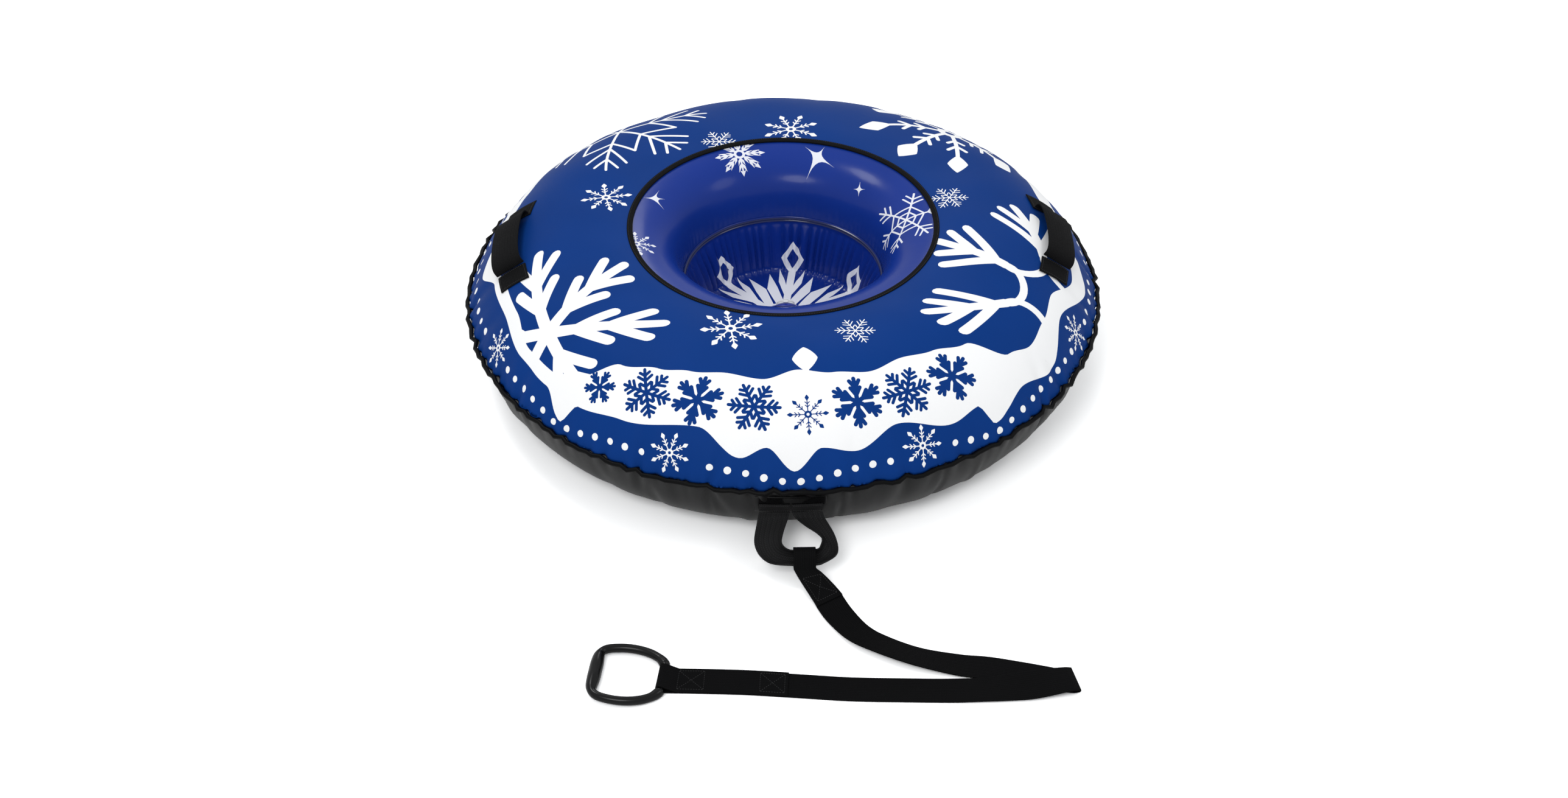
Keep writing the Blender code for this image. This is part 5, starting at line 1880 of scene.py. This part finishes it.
# %% [markdown]
# ## The valve
#
# The valve stands on the chamber's wall inside the hole, where a rider's legs don't press it.
# A soft flange carries the neck, a threaded insert sits in it, a rubber disc lets air in and
# not out, and a cap on a tether closes it. Each is turned about the valve's own axis.

# %% The valve's own axes
valve_point = shell_point(wall, VALVE_ARC, FRONT, 0)
valve_normal = shell_point(wall, VALVE_ARC, FRONT, 1) - valve_point
valve_y = valve_normal.cross(ACROSS).normalized()
valve_y = valve_y if valve_y.z > 0 else -valve_y
valve_x = valve_y.cross(valve_normal).normalized()
valve = Matrix((valve_x, valve_y, valve_normal)).transposed().to_4x4()
valve.translation = valve_point
print("valve at", [round(c, 4) for c in valve_point])


def put(piece, name, finish, body, node):
    """Put a piece on the valve's axes as it is and finish it."""
    piece.data.transform(valve)
    smooth(piece, 40)
    finished(piece, name, [finish], body, node)


def placed(piece, name, finish, body, node):
    """Put a turned piece on the valve's axes and finish it."""
    edit(piece, bpy.ops.mesh.remove_doubles, threshold=1e-6)
    edit(piece, bpy.ops.mesh.normals_make_consistent, inside=False)
    put(piece, name, finish, body, node)


def block(middle, size, turn=0.0, bevel=None):
    """A block about a place, turned about the valve's axis, with rounded edges if wanted."""
    bpy.ops.mesh.primitive_cube_add(size=1, location=middle)
    piece = bpy.context.object
    piece.scale = size
    piece.rotation_euler = (0, 0, turn)
    bpy.ops.object.transform_apply(location=True, rotation=True, scale=True)
    if bevel:
        modify(piece, "BEVEL", width=bevel, segments=2)
    return piece


def joined(pieces):
    choose(*pieces)
    bpy.ops.object.join()
    return bpy.context.object


# %% The flange and neck
NECK_BORE = 0.0125
NECK_HEIGHT = 0.0070
NECK_DEPTH = 0.0130
FLANGE_RIM = 0.0260
flange_rows = [
    (FLANGE_RIM, 0.0007), (FLANGE_RIM, 0.0013), (0.0254, 0.0017), (0.0240, 0.0018),
    (0.0200, 0.0018), (NECK + 0.0022, 0.0020), (NECK + 0.0006, 0.0028), (NECK, 0.0040),
    (NECK, NECK_HEIGHT - 0.0006), (NECK - 0.0005, NECK_HEIGHT), (NECK_BORE + 0.0004, NECK_HEIGHT),
    (NECK_BORE, NECK_HEIGHT - 0.0004), (NECK_BORE, -NECK_DEPTH), (NECK, -NECK_DEPTH),
    (NECK, 0.0006), (0.0200, 0.0007), (FLANGE_RIM, 0.0007),
]
flange = walked(flange_rows, 72)
points = points_of(flange)
turns, radii = turns_of(points)
back = valve.inverted()
for i in np.nonzero(radii > NECK + 0.001)[0]:
    arc = VALVE_ARC + radii[i] * math.sin(turns[i])
    turn = FRONT - radii[i] * math.cos(turns[i]) / wall.point(VALVE_ARC)[0]
    points[i] = back @ shell_point(wall, arc, turn, points[i, 2])
move_points(flange, points)
placed(flange, "valve_flange", valve_vinyl, "tube", "valve_base")

# %% The insert, its thread and its spokes
THREAD_TURNS = 4
THREAD_START = 0.0035
THREAD_STEP = 0.0024
THREAD_DEPTH = 0.0006
SEAT_BORE = 0.0078
lip = NECK_HEIGHT + GAP
top = lip + 0.0020
bore = NECK_BORE - GAP
inner = bore - 0.0028
foot = top - 0.0150
insert_rows = [
    (inner + 0.0004, top), (NECK - 0.0006, top), (NECK, lip + 0.0014), (NECK, lip + 0.0003),
    (NECK - 0.0003, lip), (bore, lip), (bore, foot + 0.0004), (bore - 0.0004, foot),
    (SEAT_BORE, foot), (SEAT_BORE, foot + 0.0020), (inner, foot + 0.0020),
]
for i in range(THREAD_TURNS):
    low = foot + THREAD_START + i * THREAD_STEP
    crest = inner - THREAD_DEPTH
    insert_rows += [(inner, low), (crest, low + 0.0005)]
    insert_rows += [(crest, low + 0.0009), (inner, low + 0.0014)]
insert_rows += [(inner, lip + 0.0016), (inner + 0.0004, top)]
placed(walked(insert_rows, 64), "valve_insert", valve_plastic, "tube", "valve_body")
spoke = ((0, 0, foot + 0.0010), (0.0160, 0.0018, 0.0018))
spider = joined([block(*spoke, math.pi / 4 * i) for i in range(4)])
modify(spider, "BEVEL", width=0.0003, segments=2)
put(spider, "valve_spider", valve_plastic, "tube", None)

# %% The rubber disc
disc = foot - GAP
disc_rows = [
    (0.0002, disc + 0.0060), (0.0012, disc + 0.0060), (0.0017, disc + 0.0052),
    (0.0012, disc + 0.0042), (0.0012, disc), (0.0084, disc), (0.0088, disc - 0.0003),
    (0.0088, disc - 0.0007), (0.0084, disc - 0.0010), (0.0002, disc - 0.0010),
]
rubber = walked(disc_rows, 48)
edit(rubber, bpy.ops.mesh.remove_doubles, threshold=0.00031)
placed(rubber, "valve_disc", valve_rubber, "diaphragm", "valve_diaphragm")

# %% The cap and its ear
cap_low = top + GAP
cap_high = cap_low + 0.0024
plug = inner - 0.0008
cap_rows = [
    (0.0002, cap_low + 0.0018), (0.0060, cap_low + 0.0018), (0.0070, cap_high),
    (NECK - 0.0008, cap_high), (NECK, cap_low + 0.0017), (NECK, cap_low + 0.0005),
    (NECK - 0.0004, cap_low), (plug, cap_low), (plug, cap_low - 0.0027),
    (plug - 0.0004, cap_low - 0.0030), (0.0002, cap_low - 0.0030),
]
cap = walked(cap_rows, 72)
edit(cap, bpy.ops.mesh.remove_doubles, threshold=0.00005)
points = points_of(cap)
turns, radii = turns_of(points)
knurl = (radii > NECK - 0.0001) & (points[:, 2] > cap_low)
points[knurl, :2] *= (1 - 0.018 * (np.cos(36 * turns[knurl]) > 0.3))[:, None]
move_points(cap, points)
hinge = NECK + 0.0050
ear_middle = (0, (NECK + hinge) / 2 - 0.0010, cap_low + 0.0006)
ear = block(ear_middle, (0.0080, hinge - NECK + 0.0010, 0.0012), bevel=0.0003)
put(ear, "valve_cap_ear", valve_plastic, "cap", None)
placed(cap, "valve_lid", valve_plastic, "cap", "valve_cap")

# %% The tether's collar and post
collar_high = NECK_HEIGHT - 0.0015
collar_low = collar_high - 0.0012
sleeve = NECK + 0.0009
collar_rows = [
    (sleeve, collar_low), (sleeve + 0.0026, collar_low), (sleeve + 0.0030, collar_low + 0.0004),
    (sleeve + 0.0030, collar_high - 0.0004), (sleeve + 0.0026, collar_high),
    (sleeve, collar_high), (sleeve, collar_low),
]
placed(walked(collar_rows, 64), "valve_collar", valve_plastic, "tube", "valve_tether")
tab_parts = []
for high, near in ((collar_high, sleeve + 0.0015), (cap_low - 0.0009, hinge - 0.0006)):
    far = hinge + 0.0006
    middle = (0, (near + far) / 2, (collar_low + high) / 2)
    tab_parts.append(block(middle, (0.0080, far - near, high - collar_low), bevel=0.00025))
put(joined(tab_parts), "valve_post", valve_plastic, "tube", None)

# %% [markdown]
# ## The floor and the light
#
# The floor is a pale plane. The camera sees it partly as plain white, so that it clears to
# the white of the photograph, and its own shading keeps the tube's soft shadow. A lamp high
# at the left and behind makes that shadow. Three others, behind, in front and at the right,
# light the folds, and a pale sky fills the rest.

# %% The floor
WHITE = (1.0, 1.0, 1.0, 1.0)
FLOOR_COLOUR = (0.80, 0.80, 0.80, 1.0)
FLOOR_GLOW = 0.05
FLOOR_SEEN = (1.6, 1.6, 1.6, 1.0)
bpy.ops.mesh.primitive_plane_add(size=30, location=(0, 0, 0))
floor = bpy.context.object
floor.name = "studio_floor"
floor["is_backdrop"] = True
studio = Finish("studio_floor")
path = studio.node("LightPath", output="Is Camera Ray")
plain = studio.node("BsdfDiffuse", None, {"Color": FLOOR_COLOUR})
seen = studio.node("BsdfDiffuse", None, {"Color": FLOOR_SEEN})
lit = studio.node("Emission", None, {"Color": WHITE, "Strength": FLOOR_GLOW})
bright = studio.node("AddShader", None, {0: seen, 1: lit})
studio.shown(studio.node("MixShader", None, {0: path, 1: plain, 2: bright}))
floor.data.materials.append(studio.material)

# %% The sky and the lamps
SKY_COLOUR = (0.97, 0.985, 1.0, 1.0)
SKY_STRENGTH = 0.70
LAMP_TARGET = Vector((0, 0, 0.1))
world = bpy.data.worlds.new("studio_sky")
world.use_nodes = True
bpy.context.scene.world = world
tree = world.node_tree
tree.nodes.clear()
rays = tree.nodes.new("ShaderNodeLightPath")
pick = tree.nodes.new("ShaderNodeMixShader")
end = tree.nodes.new("ShaderNodeOutputWorld")
tree.links.new(rays.outputs["Is Camera Ray"], pick.inputs[0])
for number, (colour, strength) in enumerate(((SKY_COLOUR, SKY_STRENGTH), (WHITE, 1.0)), 1):
    ground = tree.nodes.new("ShaderNodeBackground")
    ground.inputs["Color"].default_value = colour
    ground.inputs["Strength"].default_value = strength
    tree.links.new(ground.outputs[0], pick.inputs[number])
tree.links.new(pick.outputs[0], end.inputs["Surface"])


def lamp(name, place, size, watts):
    """A round lamp that looks at the tube."""
    aim = (LAMP_TARGET - Vector(place)).to_track_quat("-Z", "Y").to_euler()
    bpy.ops.object.light_add(type="AREA", location=place, rotation=aim)
    made = bpy.context.object
    made.name = name
    made.data.shape = "DISK"
    made.data.size = size
    made.data.energy = watts


lamp("key_lamp", (-1.9, 1.5, 4.2), 1.3, 42)
lamp("back_lamp", (0.4, 3.4, 2.4), 1.2, 14)
lamp("fill_lamp", (-1.0, -2.9, 3.1), 1.6, 43)
lamp("side_lamp", (2.7, -0.9, 3.0), 1.6, 15)
bpy.context.scene.view_settings.view_transform = "Standard"

# %% [markdown]
# ## Sizes, and the end
#
# The sizes of the dressed tube are printed beside those of the CAD model's box. The
# dressed tube has to stay inside the CAD model's box but for a little cloth.

# %% Write the sizes and finish
visual_box = [[float(x) for x in corner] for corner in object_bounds()]
for axis, low, high, new_low, new_high in zip("xyz", *cad_box, *visual_box):
    print(axis, "CAD", round(low, 4), round(high, 4), end=" ")
    print("visual", round(new_low, 4), round(new_high, 4))
